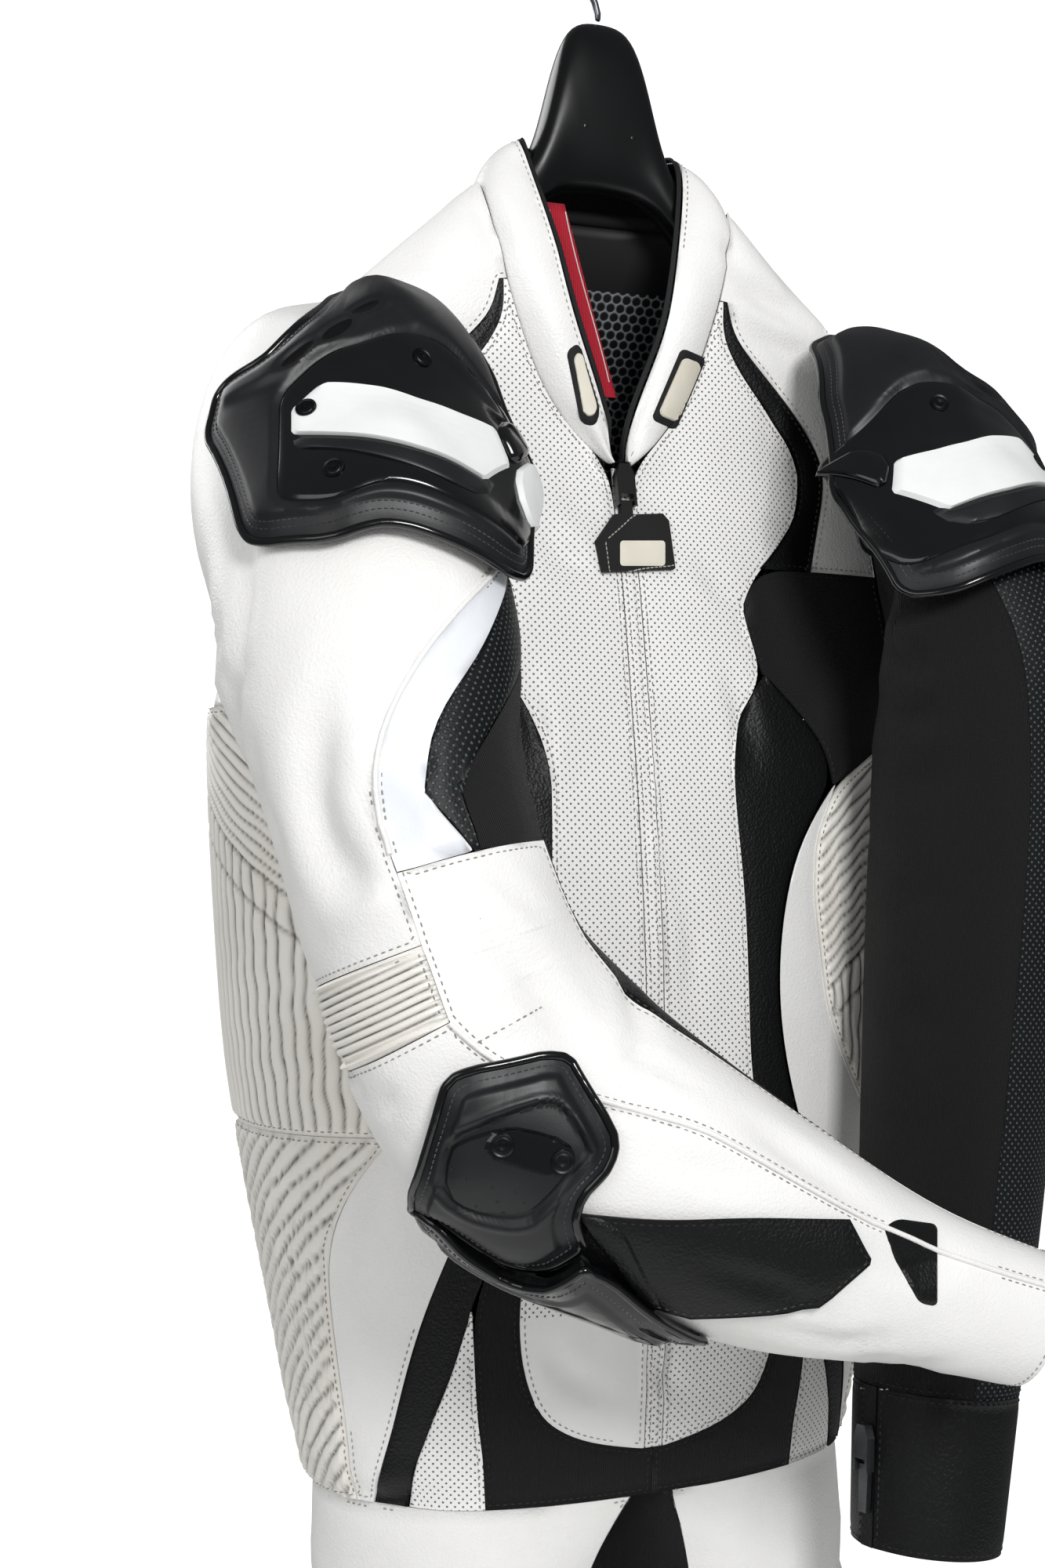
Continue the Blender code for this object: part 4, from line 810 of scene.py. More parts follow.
def flattenPattern(thing):
    # Unwraps a panel, then sizes its pattern in metres with its length upright. Returns width, length, area.
    pick(thing)
    bpy.ops.object.mode_set(mode="EDIT")
    bpy.ops.mesh.select_all(action="SELECT")
    bpy.ops.uv.unwrap(method="ANGLE_BASED", margin=0.001)
    bpy.ops.object.mode_set(mode="OBJECT")
    edit = openMesh(thing.data)
    layer = edit.loops.layers.uv.active
    size = None
    for side in (outerSide, innerSide, rimSide):
        faces = [f for f in edit.faces if f.material_index == side]
        if not faces:
            continue
        flat = np.array([loop[layer].uv for f in faces for loop in f.loops])
        real = np.array([loop.vert.co for f in faces for loop in f.loops])
        area = sum(f.calc_area() for f in faces)
        pattern = sum(abs(sum(a[layer].uv.cross(b[layer].uv) for a, b in
                              zip(f.loops, list(f.loops)[1:] + [f.loops[0]]))) / 2 for f in faces)
        centred = flat - flat.mean(axis=0)
        lift = real[:, 2] - real[:, 2].mean()
        slope = np.linalg.lstsq(centred, lift, rcond=None)[0]
        turn = math.atan2(slope[0], slope[1])
        scale = math.sqrt(area / max(pattern, 1e-12))
        spin = np.array(((math.cos(turn), -math.sin(turn)), (math.sin(turn), math.cos(turn)))) * scale
        placed = centred @ spin.T
        placed -= placed.min(axis=0)
        if side == outerSide:
            size = (*placed.max(axis=0), area)
        k = 0
        for f in faces:
            for loop in f.loops:
                loop[layer].uv = placed[k]
                k += 1
    closeMesh(edit, thing.data)
    thing.data.uv_layers.active.name = "pattern"
    return size


def cornersOf(mesh, side):
    return {k for polygon in mesh.polygons if polygon.material_index == side for k in polygon.vertices}


def sideTree(mesh, side):
    faces = [tuple(polygon.vertices) for polygon in mesh.polygons if polygon.material_index == side]
    return BVHTree.FromPolygons([v.co for v in mesh.vertices], faces)


def rimTree(mesh):
    corners = cornersOf(mesh, rimSide)
    return pointTree([mesh.vertices[k].co for k in corners]), corners


def dressPanel(name, outside, inside, slot):
    thing, edit = copyNode(name, "dressed", outside, inside, outside)
    bmesh.ops.recalc_face_normals(edit, faces=edit.faces)
    sortSides(edit, name)
    crease = edit.edges.layers.float.new("crease_edge")
    for edge in edit.edges:
        a, b = edge.link_faces
        edge.seam = a.material_index != b.material_index
        limit = sharpPanels.get(name, panelValues["rimAngle"])
        corner = a.material_index == rimSide and edge.calc_face_angle(0) > limit
        if edge.seam or corner:
            edge[crease] = 1.0
        elif name in ribbedNodes and a.material_index == outerSide:
            if edge.calc_face_angle_signed(0) < panelValues["ribAngle"]:
                edge[crease] = panelValues["ribCrease"]
    if name.startswith("flank"):
        lengthwise = [edge for edge in edit.edges
                      if abs((edge.verts[0].co - edge.verts[1].co).normalized().z) > 0.7]
        bmesh.ops.subdivide_edges(edit, edges=lengthwise, cuts=1, use_grid_fill=True)
    closeMesh(edit, thing.data)
    size = flattenPattern(thing)
    applyModifier(thing, "SUBSURF", levels=panelValues["level"] + (name in ribbedNodes))
    finishPanel(thing, name)
    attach(thing, suitBody)
    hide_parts(name)
    width, length, area = size
    if area < panelValues["bent"] * width * length:      # a bent strip is cut straight
        width = area / length / 0.9
    width = max(width, panelValues["narrowest"])
    min(area, width * length)
    return thing


ribValues = {
    "wall": 2.0,                                            # millimetres of leather under the ribs
    "flank": {"height": 2.3, "pitch": 5.2, "slant": 7.1},   # upright ribs, and slanting ones above them
    "top": ((35, 62), (30, 55)),                            # heights where its ribs and its valleys fade
    "hip": {"height": 2.8, "pitch": 11.0, "slope": 1.15},
    "elbow": {"height": 2.2, "count": 9, "way": (0.36, -0.22, -0.90)},
    "girth": 140.0,                                         # millimetres round the flank per radian
    "band": (-20.0, 220.0, 19.0),                           # height, place round and depth of the sewn band
    "sewn": 1.3,                                            # half width of the band's seams
    "wander": (0.07, 0.06),
    "roundness": 0.6,
    "grow": (0.8, 4.5),                                     # the ribs rise this far from the rim
    "leave": (0.2, 2.5),                                    # and here the plain wall is left behind
}


def ribWave(phase):
    # The height of a rib, from 0 to 1, and the share of painted valley shade beside it.
    wave = np.abs(np.sin(math.pi * phase))
    return wave ** ribValues["roundness"], (1 - wave) ** 3


def ribHeights(name, points):
    # Height of the ribs in millimetres at each point, and the share of painted valley shade there.
    v = ribValues
    around = v["girth"] * np.arctan2(np.abs(points[:, 0]), -(points[:, 1] - 0.03))
    rise = (points[:, 2] - viewer["height"]) / mm
    wander = (v["wander"][0] * np.sin(rise / 9 + around / 5)
              + v["wander"][1] * np.sin(rise / 3.7 + around / 11))
    if name == "right_elbow_accordion":
        along = points @ np.array(v["elbow"]["way"])
        low, high = np.percentile(along, 1), np.percentile(along, 99)
        wave, valleyShade = ribWave(v["elbow"]["count"] * (along - low) / (high - low))
        return v["elbow"]["height"] * wave, valleyShade
    if name.startswith("hip"):
        wave, valleyShade = ribWave((rise + v["hip"]["slope"] * around) / v["hip"]["pitch"] + wander)
        return v["hip"]["height"] * wave, valleyShade
    height, place, depthOfBand = v["band"]
    above = rise - height - (around - place)
    upright = np.abs(np.sin(math.pi * (around / v["flank"]["pitch"] + wander)))
    slanting = np.abs(np.sin(math.pi * (above / v["flank"]["slant"] + wander * 0.5)))
    top = ease(above, -0.5, 0.5)
    wave = upright * (1 - top) + slanting * top
    sewn = np.exp(-(above / v["sewn"]) ** 2) + np.exp(-((above + depthOfBand) / v["sewn"]) ** 2)
    ribFade, valleyFade = ((1 - ease(rise, *span)) for span in v["top"])
    fade = (1 - 0.8 * np.clip(sewn, 0, 1)) * ribFade
    # Painted shade: darkest between the ribs and along the band's seams, fading out higher up.
    valleyShade = np.clip((1 - wave) ** 3 + 0.5 * sewn, 0, 1) * valleyFade
    return v["flank"]["height"] * wave ** v["roundness"] * fade, valleyShade


def raiseRibs(thing, name):
    # Rebuilds a ribbed panel's outer side from its plain inner side.
    mesh = thing.data
    tree = sideTree(mesh, innerSide)
    outer = sorted(cornersOf(mesh, outerSide))
    rims, _ = rimTree(mesh)
    hits = [tree.find_nearest(mesh.vertices[k].co) for k in outer]
    points = np.array([mesh.vertices[k].co for k in outer])
    feet = np.array([hit[0] for hit in hits])
    depth = np.array([hit[3] for hit in hits])
    gaps = np.array([rims.find(mesh.vertices[k].co)[2] for k in outer]) / mm
    way = (points - feet) / np.maximum(depth, 1e-6)[:, None]
    heights, valleys = ribHeights(name, points)
    near = ease(gaps, *ribValues["grow"])
    target = feet + way * ((ribValues["wall"] + heights * near) * mm)[:, None]
    blend = ease(gaps, *ribValues["leave"])[:, None]
    points = points * (1 - blend) + target * blend
    # The valley attribute carries the painted shade that darkens the ribbed hide.
    marked = np.zeros(len(mesh.vertices), np.float32)
    for k, point, valleyShade, share in zip(outer, points, valleys, near):
        mesh.vertices[k].co = point
        marked[k] = valleyShade * share
    mesh.attributes.new("valleyShade", "FLOAT", "POINT").data.foreach_set("value", marked)
    mesh.update()


tuckValues = {"middle": (0.0, 0.02, 0.0), "heights": (0.36, 0.42), "sides": (0.07, 0.12), "depth": 0.007}


def finishPanel(thing, name):
    # Ribs, creases, and the dip that the sewing pulls into the outer side along each edge.
    mesh = thing.data
    if name in ribbedNodes:
        raiseRibs(thing, name)
    points = np.array([v.co for v in mesh.vertices])
    points += creaseField(points)
    if name == "back_lining":                # its lower corners are drawn in, clear of the upper back
        inwards = np.array(tuckValues["middle"]) - points
        inwards[:, 2] = 0
        inwards /= np.linalg.norm(inwards, axis=1)[:, None]
        share = ease(-points[:, 2], *tuckValues["heights"]) * ease(abs(points[:, 0]), *tuckValues["sides"])
        points += inwards * share[:, None] * tuckValues["depth"]
    mesh.vertices.foreach_set("co", points.astype(np.float32).ravel())
    mesh.update()
    rims, corners = rimTree(mesh)
    outer = cornersOf(mesh, outerSide)
    normals = {k: mesh.vertices[k].normal.copy() for k in outer}
    for polygon in mesh.polygons:
        if polygon.material_index == outerSide:
            for k in polygon.vertices:
                if k in corners:
                    normals[k] = polygon.normal.copy()
    for k in outer:
        vertex = mesh.vertices[k]
        _, _, gap = rims.find(vertex.co)
        vertex.co -= normals[k] * panelValues["seamDip"] * math.exp(-(gap / panelValues["seamReach"]) ** 2)
    mesh.update()
    smoothBelow(thing, 50)


panelKinds = {
    # material slot: for each finish, the panels that have it
    "white_leather": {
        "white": ("yoke", "side_white", "leg_outer", "lower_back", "upper_back", "collar",
                  "right_sleeve_outer", "right_forearm", "right_forearm_crook"),
        "whitePunched": ("front", "thigh_inset", "front_zip"),
        "whiteRibbed": ("flank_accordion", "hip_accordion", "right_elbow_accordion"),
    },
    "black_leather": {
        "black": ("shoulder_stripe", "side_panel", "right_forearm_strip", "right_forearm_band", "left_cuff"),
        "blackPunched": ("right_sleeve_inner", "left_sleeve_outer"),
        "neoprene": ("collar_trim",),
    },
    "black_knit": {
        "knit": ("leg_inner", "chest_stretch", "groin_stretch", "right_sleeve_stretch", "right_forearm_back",
                 "left_sleeve_stretch"),
        "neckLining": ("back_lining",),
    },
    "pearl_leather": {"pearl": ("right_sleeve_pearl",)},
    "red_ribbon": {"redTape": ("neck_loop",)},
}
panelFinishes = {kind: (finish, slot) for slot, kinds in panelKinds.items() for finish, names in kinds.items()
                 for kind in names}


panels = {}
for name in clothNodes:
    outside, slot = panelFinishes[kindOf(name, panelFinishes)]
    outside = "whitePunchedBib" if name == "front_right" else outside
    inside = "neckLining" if name == "back_lining" else "lining"
    panels[name] = dressPanel(name, finishes[outside], finishes[inside], slot)
print("panels dressed,", len(panels))

for name in hardNodes:
    nodes[name].data.materials.clear()
    nodes[name].data.materials.append(finishes[hardFinishes[kindOf(name, hardFinishes)]])
print("hard pieces finished")


# Hard shells are modelled on a dome: a smooth copy of the CAD shell's outer side, seen from a hub inside it.
domeValues = {"step": 3.0, "half": 27, "smoothing": 4, "reach": 0.3}    # degrees, steps, passes, metres


def frameOf(axis):
    axis = Vector(axis).normalized()
    beside = Vector((0, 0, 1)).cross(axis).normalized()
    above = axis.cross(beside)
    return axis, beside, above if above.z > 0 else -above


def aimAt(dome, spot):
    # The direction that lies this many degrees across and up from a dome's axis.
    axis, beside, above = dome["frame"]
    size = math.hypot(*spot)
    if size < 1e-6:
        return axis.copy()
    turn = math.radians(size)
    return axis * math.cos(turn) + (beside * spot[0] + above * spot[1]) / size * math.sin(turn)


def degreesOf(dome, point):
    axis, beside, above = dome["frame"]
    way = (Vector(point) - dome["hub"]).normalized()
    turn = math.degrees(math.acos(max(-1.0, min(1.0, way.dot(axis)))))
    side = Vector((way.dot(beside), way.dot(above))).normalized()
    return np.array((turn * side.x, turn * side.y))


def castAt(tree, dome, way):
    # Looks from outside towards the hub: point, normal, face and distance.
    return tree.ray_cast(dome["hub"] + way * dome["reach"], -way, dome["reach"])


def makeDome(node, hub, axis):
    # A smooth copy of a shell's outer side: its radius on a grid of directions from the hub.
    dome = {"hub": Vector(hub), "frame": frameOf(axis), **domeValues}
    tree = treeOf(nodes[node])
    count = 2 * dome["half"] + 1
    radii = np.full((count, count), np.nan)
    for row in range(count):
        for column in range(count):
            spot = ((column - dome["half"]) * dome["step"], (row - dome["half"]) * dome["step"])
            way = aimAt(dome, spot)
            hit = castAt(tree, dome, way)
            if hit[0] is not None:
                radii[row, column] = dome["reach"] - hit[3]
    while np.isnan(radii).any():             # what the shell leaves empty is filled from its neighbours
        empty = np.isnan(radii)
        padded = np.pad(radii, 1, constant_values=np.nan)
        around = np.stack([padded[r:r + count, c:c + count] for r in range(3) for c in range(3)])
        known = (~np.isnan(around)).sum(axis=0)
        filled = np.nansum(around, axis=0) / np.maximum(known, 1)
        radii[empty & (known > 0)] = filled[empty & (known > 0)]
    for _ in range(dome["smoothing"]):
        padded = np.pad(radii, 1, mode="edge")
        radii = (padded[:-2, 1:-1] + padded[2:, 1:-1] + padded[1:-1, :-2] + padded[1:-1, 2:]
                 + 2 * radii) / 6
    dome["radii"] = radii
    return dome


def radiusAt(dome, spot):
    place = np.clip(np.asarray(spot) / dome["step"] + dome["half"], 0, 2 * dome["half"] - 0.001)
    column, row = int(place[0]), int(place[1])
    x, y = place[0] - column, place[1] - row
    radii = dome["radii"]
    low = radii[row, column] * (1 - x) + radii[row, column + 1] * x
    high = radii[row + 1, column] * (1 - x) + radii[row + 1, column + 1] * x
    return low * (1 - y) + high * y


def onDome(dome, spot, lift):
    return dome["hub"] + aimAt(dome, spot) * (radiusAt(dome, spot) + lift * mm)


def shellRim(node, dome):
    # The edge of a CAD shell's outer side, as degrees on its dome.
    edit = openMesh(nodes[node].data, merge=True)
    edit.faces.ensure_lookup_table()
    tops = {face.index for face in edit.faces
            if face.normal.dot((face.calc_center_median() - dome["hub"]).normalized()) > 0.25}
    following = {}
    for face in edit.faces:
        for loop in face.loops:
            others = [f.index for f in loop.edge.link_faces if f.index != face.index]
            if face.index in tops and not (others and others[0] in tops):
                following[loop.vert.index] = (loop.link_loop_next.vert.index, loop.vert.co.copy())
    edit.free()
    chains = []
    while following:
        here, chain = next(iter(following)), []
        while here in following:
            here, point = following.pop(here)
            chain.append(degreesOf(dome, point))
        chains.append(chain)
    return np.array(max(chains, key=len))


def markedOn(dome, marks, side=-1):
    # Where marks on the sheet before the camera fall on the right dome, as degrees, or their mirror image.
    spots = []
    for beside, rise in marks:
        way = (ahead * viewer["distance"] + across * beside * mm + up * rise * mm).normalized()
        nearest = (dome["hub"] - eye).dot(way)
        reach = nearest
        for step in range(200):
            point = eye + way * (nearest - 0.2 + step * mm)
            if (point - dome["hub"]).length < radiusAt(dome, degreesOf(dome, point)):
                reach = nearest - 0.2 + step * mm
                break
        spots.append(degreesOf(dome, eye + way * reach))
    return np.array(spots) * (-side, 1)


def rounded(outline, passes=2, reach=3.0):
    # Cuts an outline's corners back by up to this many steps, and half as much in each later pass.
    points = np.array(outline, float)
    for _ in range(passes):
        after = np.roll(points, -1, axis=0)
        cut = np.minimum(0.3, reach / np.maximum(np.linalg.norm(after - points, axis=1), 1e-6))[:, None]
        points = np.stack([points * (1 - cut) + after * cut, points * cut + after * (1 - cut)], 1)
        points = points.reshape(-1, 2)
        reach *= 0.4
    return points


def meet(rim, other, share):
    # Draws the part of a rim that runs near another outline towards it.
    rim, other = spaced(rounded(rim, 1, 2.0), 300), spaced(np.array(other), 300)
    gaps = np.linalg.norm(rim[:, None] - other[None], axis=2)
    nearest = other[gaps.argmin(axis=1)]
    weight = 1 - ease(gaps.min(axis=1) * degreeSize, 11, 17)
    return rim + (nearest - rim) * (share * weight)[:, None]


def spaced(points, count):
    closed = np.vstack([points, points[:1]])
    lengths = np.concatenate([[0], np.cumsum(np.linalg.norm(np.diff(closed, axis=0), axis=1))])
    places = np.linspace(0, lengths[-1], count, endpoint=False)
    return np.stack([np.interp(places, lengths, closed[:, k]) for k in range(closed.shape[1])], 1)


def inside(points, outline):
    # Distance of each point from an outline, above 0 inside it.
    start, stop = outline, np.roll(outline, -1, axis=0)
    run = stop - start
    away = points[:, None] - start[None]
    share = np.clip((away * run).sum(-1) / np.maximum((run * run).sum(-1), 1e-9), 0, 1)
    gap = np.linalg.norm(away - run * share[..., None], axis=-1).min(axis=1)
    x, y = points[:, None, 0], points[:, None, 1]
    crosses = (start[:, 1] > y) != (stop[:, 1] > y)
    slope = np.where(np.abs(run[:, 1]) < 1e-9, 1e-9, run[:, 1])
    at = start[:, 0] + (y - start[:, 1]) / slope * run[:, 0]
    within = (crosses & (x < at)).sum(axis=1) % 2 == 1
    return np.where(within, gap, -gap)


def offLine(points, line):
    # Distance in millimetres from a line, above 0 on its left, and the share of the way along it.
    start, run = line[:-1], np.diff(line, axis=0)
    away = points[:, None] - start[None]
    share = np.clip((away * run).sum(-1) / (run * run).sum(-1), 0, 1)
    gap = np.linalg.norm(away - run * share[..., None], axis=-1)
    best = gap.argmin(axis=1)
    rows = np.arange(len(points))
    turn = run[best, 0] * away[rows, best, 1] - run[best, 1] * away[rows, best, 0]
    return gap[rows, best] * degreeSize * np.sign(turn), (best + share[rows, best]) / len(run)


degreeSize = 1.4        # millimetres that a degree spans on the armour's domes


def makePad(name, seat, scale, outline, finish, thick, edge, rings=10, count=140, relief=None, skirt=1.0,
            passes=2, body=suitBody, reach=3.0):
    # A closed pad over an outline. seat(spot, rise) gives a point, and scale the millimetres in a step.
    rim = spaced(rounded(outline, passes, reach), count)
    middle = rim.mean(axis=0)
    spots = np.concatenate([[middle]] + [middle + (rim - middle) * k / rings for k in range(1, rings + 1)])
    gaps = np.concatenate([inside(part, rim) for part in np.array_split(spots, 1 + len(spots) // 2000)])
    gaps = np.maximum(gaps, 0) * scale
    gaps[-count:] = 0
    rise = thick * np.sqrt(np.clip(1 - (1 - np.clip(gaps / edge, 0, 1)) ** 2, 0, 1))
    if relief is not None:
        rise = rise + relief(spots, gaps)
    vertices = [seat(spot, height) for spot, height in zip(spots, rise)]
    last = 1 + (rings - 1) * count           # first corner of the outermost ring
    base = len(vertices)
    under = [middle] + [middle + (spot - middle) * share for share in (0.5, 1.0) for spot in rim]
    vertices += [seat(spot, -skirt) for spot in under]

    def ringFaces(near, far):
        return [(near + k, far + k, far + (k + 1) % count, near + (k + 1) % count) for k in range(count)]

    faces = [(0, 1 + k, 1 + (k + 1) % count) for k in range(count)]
    for ring in range(rings - 1):
        faces += ringFaces(1 + ring * count, 1 + (ring + 1) * count)
    faces += ringFaces(last, base + 1 + count) + ringFaces(base + 1 + count, base + 1)
    faces += [(base, base + 1 + (k + 1) % count, base + 1 + k) for k in range(count)]
    pad = newMesh(name, vertices, faces, finish)
    edit = openMesh(pad.data)
    bmesh.ops.recalc_face_normals(edit, faces=edit.faces)
    closeMesh(edit, pad.data)
    smoothBelow(pad, 42)
    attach(pad, body)
    return pad


def domePad(name, dome, outline, finish, lift, thick, edge, **settings):
    return makePad(name, lambda spot, rise: onDome(dome, spot, lift + rise), degreeSize, outline, finish,
                   thick, edge, **settings)


def seatOn(tree, dome):
    # Seats spots on a finished surface instead of on the dome.
    def seat(spot, rise):
        way = aimAt(dome, spot)
        hit = castAt(tree, dome, way)[0]
        return (hit if hit is not None else onDome(dome, spot, 0)) + way * rise * mm
    return seat


def insetRow(outline, gap, passes=2, count=420):
    # Spots this many millimetres inside an outline on a dome.
    rim = spaced(rounded(outline, passes), count)
    if gap <= 0:
        return rim
    run = np.roll(rim, -1, axis=0) - np.roll(rim, 1, axis=0)
    side = np.stack([-run[:, 1], run[:, 0]], 1) / np.linalg.norm(run, axis=1)[:, None]
    if inside(rim[:1] + side[:1] * 0.5, rim)[0] < 0:
        side = -side
    spots = rim + side * gap / degreeSize
    return spots[inside(spots, rim) * degreeSize > gap * 0.85]


def dropOnto(tree, dome, spots):
    # Points and normals of a finished surface in these directions from the hub.
    hits = [castAt(tree, dome, aimAt(dome, spot)) for spot in spots]
    return [(hit, normal) for hit, normal, _, _ in hits if hit is not None]


def tube(name, points, radius, finish, closed=False, sides=3, body=suitBody):
    curve = bpy.data.curves.new(name, "CURVE")
    curve.dimensions = "3D"
    curve.bevel_depth = radius
    curve.bevel_resolution = sides
    curve.use_fill_caps = not closed
    line = curve.splines.new("POLY")
    line.points.add(len(points) - 1)
    line.use_cyclic_u = closed
    for knot, point in zip(line.points, points):
        knot.co = (*point, 1)
    curve.materials.append(finish)
    pick(newObject(name, curve))
    bpy.ops.object.convert(target="MESH")
    thing = bpy.context.object
    thing.data.shade_smooth()
    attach(thing, body)
    return thing


screwValues = {
    "radius": 5.1 * mm, "height": 1.6 * mm, "socket": 1.9 * mm, "bevel": 0.12 * mm,
    "steps": ((0.25, 0.0), (0.75, -0.45), (0.5, 0.0), (0.4, 0.35)),     # inset and rise in mm, edge first
}


def makeScrew():
    # A flat socket screw: a bevelled rim, a dished face and a six-sided socket, on the origin along +Z.
    v = screwValues
    deselectAll()
    bpy.ops.mesh.primitive_cylinder_add(vertices=40, radius=v["radius"], depth=v["height"])
    screw = modelled("socket_screw", finishes["darkSteel"])
    bpy.ops.object.mode_set(mode="EDIT")
    bpy.ops.mesh.select_mode(type="FACE")
    bpy.ops.mesh.select_all(action="DESELECT")
    edit = bmesh.from_edit_mesh(screw.data)
    for face in edit.faces:
        face.select = face.normal.z > 0.9
    bmesh.update_edit_mesh(screw.data)
    for inset, rise in v["steps"]:
        bpy.ops.mesh.inset(thickness=inset * mm, depth=0)
        bpy.ops.transform.translate(value=(0, 0, rise * mm))
    bpy.ops.object.mode_set(mode="OBJECT")
    bpy.ops.mesh.primitive_cylinder_add(vertices=6, radius=v["socket"], depth=v["height"],
                                        location=(0, 0, v["height"] * 0.6))
    cutter = bpy.context.object
    applyModifier(screw, "BOOLEAN", operation="DIFFERENCE", object=cutter, solver="EXACT")
    bpy.data.objects.remove(cutter)
    applyModifier(screw, "BEVEL", width=v["bevel"], segments=2, limit_method="ANGLE")
    smoothBelow(screw, 35)
    return screw


def placeCopy(source, name, spot, normal, lift=0.0, body=suitBody):
    # A copy with a mesh of its own, its +Z along the normal.
    thing = newObject(name, source.data.copy())
    turn = normal.to_track_quat("Z", "Y").to_matrix().to_4x4()
    thing.data.transform(Matrix.Translation(spot + normal * lift) @ turn)
    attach(thing, body)
    return thing


def smoothCopy(name, finish, levels=2):
    # A finer copy of a hard CAD piece, rounded off its facets.
    thing, edit = copyNode(name, "smooth", finish)
    closeMesh(edit, thing.data)
    applyModifier(thing, "SUBSURF", levels=levels)
    thing.data.shade_smooth()
    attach(thing, suitBody)
    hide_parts(name)
    return thing


def seatOnMarks(tree, sheet="front"):
    # Seats marks on a surface as seen from the camera or square on to the body.
    def seat(spot, rise):
        hit, normal = lookThrough(tree, sheet, *spot)
        if hit is None:
            hit, normal = lookThrough(clothTree, sheet, *spot)
        return hit + normal * rise * mm
    return seat


patches = {
    # name: start of the panels it is sewn to, outline in marks, finish, thickness and rounded edge in mm
    "forearm_band_root": ("right_", ((-14, -240), (0, -241), (13, -250), (33, -291), (24, -293), (-2, -282),
                                     (-16, -266)), "black", 1.2, 0.6),
    "elbow_backing": ("right_", ((-62, -260), (-14, -256), (-4, -264), (-8, -276), (-30, -279), (-56, -272)),
                      "neoprene", 2.0, 1.0),
    "collar_badge_left": ("collar", ((27, 202), (44, 242), (58, 236), (41, 196)), "neoprene", 1.2, 0.6),
    "collar_badge_left_face": ("collar", ((29.5, 204), (44.5, 238), (55, 234), (40.5, 199.5)), "cream",
                               2.0, 0.7),
    "collar_badge_right": ("collar", ((-20, 240), (-13, 245), (-1, 206), (-4, 198), (-12, 200)), "neoprene",
                           1.2, 0.6),
    "collar_badge_right_face": ("collar", ((-17, 238), (-12.5, 241), (-3, 207), (-5.5, 202), (-10.5, 204)),
                                "cream", 2.0, 0.7),
    "forearm_end_hexagon": ("right_forearm", ((156, -246), (162, -263), (176, -288), (186, -290), (186, -244),
                                              (164, -241)), "black", 1.0, 0.6),
}


hangerHoles = {"spots": ((-8.7, 365.2), (17.4, 358.3)), "radius": 1.3}


def makeHangerHoles(hanger):
    # Two small moulding holes in the hanger's neck, drawn as dark discs of painted shade.
    turns = np.linspace(0, 2 * math.pi, 16, endpoint=False)
    circle = np.stack([np.cos(turns), np.sin(turns)], 1) * hangerHoles["radius"]
    for k, spot in enumerate(hangerHoles["spots"]):
        makePad(f"hanger_hole_{k + 1}", seatOnMarks(treeOf(hanger)), 1.0, circle + spot, finishes["slotShade"],
                0.12, 0.4, rings=3, count=24, skirt=0.3, passes=0)


rowsOfStitches = (
    # start of the panels, thread, marks
    ("left_cuff", "whiteThread", (143, -328), (160, -329), (178, -328)),
    ("left_cuff", "whiteThread", (143, -335), (160, -336), (178, -335)),
    ("right_", "greyThread", (-70, -144), (-52, -134), (-34, -124)),
)


def panelTree(start):
    return treeOf(*(panels[panel] for panel in panels if panel.startswith(start)))


def sewRows():
    for start, thread, *marks in rowsOfStitches:
        tree = panelTree(start)
        places = np.linspace(0, len(marks) - 1, 24 * (len(marks) - 1))
        line = [lookThrough(tree, "front", *alongMarks(marks, place)) for place in places]
        sewLine([(spot + normal * 0.1 * mm, normal) for spot, normal in line if spot is not None], thread)


def makePatches():
    for name, (start, outline, finish, thick, edge) in patches.items():
        makePad(name, seatOnMarks(panelTree(start)), 1.0, outline, finishes[finish], thick, edge,
                rings=10, count=100, skirt=0.4, reach=2.0)


tabValues = {"face": ((10, 135), (35, 135), (35, 121), (10, 121)), "row": 1.8, "pitch": 2.6 * mm,
             "rim": ((0, 135), (16, 150), (21, 152), (38, 152), (41, 150), (44, 122), (41, 120), (3, 115))}


def finishTab():
    # The pull tab: its plain cream face and a sewn border inside its rounded rim, both riding with the tab.
    tree = treeOf(nodes["zip_pull_tab"])
    makePad("tab_face", seatOnMarks(tree), 1.0, tabValues["face"], finishes["cream"], 0.7, 0.4, rings=4,
            count=60, skirt=0.2, body="front_zip_pull", reach=1.0)
    rim = spaced(rounded(tabValues["rim"], 2, 1.5), 160)
    inwards = rim.mean(axis=0) - rim
    inwards /= np.linalg.norm(inwards, axis=1)[:, None]
    line = [lookThrough(tree, "front", *spot) for spot in rim + inwards * tabValues["row"]]
    sewLine([(spot, normal) for spot, normal in line if spot is not None], "tabThread", tabValues["pitch"])


loopValues = {"inset": 1.4 * mm, "radius": 0.35 * mm, "band": 4 * mm, "levels": 24, "points": 40}


def makeLoopEdges():
    # The woven white lines beside each edge of the hang loop.
    panel = panels["neck_loop"]
    tree = treeOf(panel)
    rim = outerRim(panel)
    low, high = min(p.z for p, _, _ in rim), max(p.z for p, _, _ in rim)
    v = loopValues
    for side, pickEdge, inset in (("left", max, -v["inset"]), ("right", min, v["inset"])):
        levels, edges = [], []
        for share in np.linspace(0.04, 0.96, v["levels"]):
            level = low + (high - low) * share
            beside = [p.dot(across) for p, _, _ in rim if abs(p.z - level) < v["band"]]
            if len(beside) > 1:
                levels.append(level)
                edges.append(pickEdge(beside))
        curve = np.polyfit(levels, edges, 3)
        line = []
        for level in np.linspace(levels[0], levels[-1], v["points"]):
            spot = across * (np.polyval(curve, level) + inset) + up * level + ahead * -0.4
            hit, normal, _, _ = tree.ray_cast(spot, ahead)
            if hit is not None:
                line.append(hit + normal * 0.1 * mm)
        if len(line) > 2:
            tube(f"loop_line_{side}", line, v["radius"], finishes["whiteThread"], sides=1)


bindingValues = {"edge": 1.5 * mm, "lift": 2.2 * mm, "radius": 4.2 * mm}


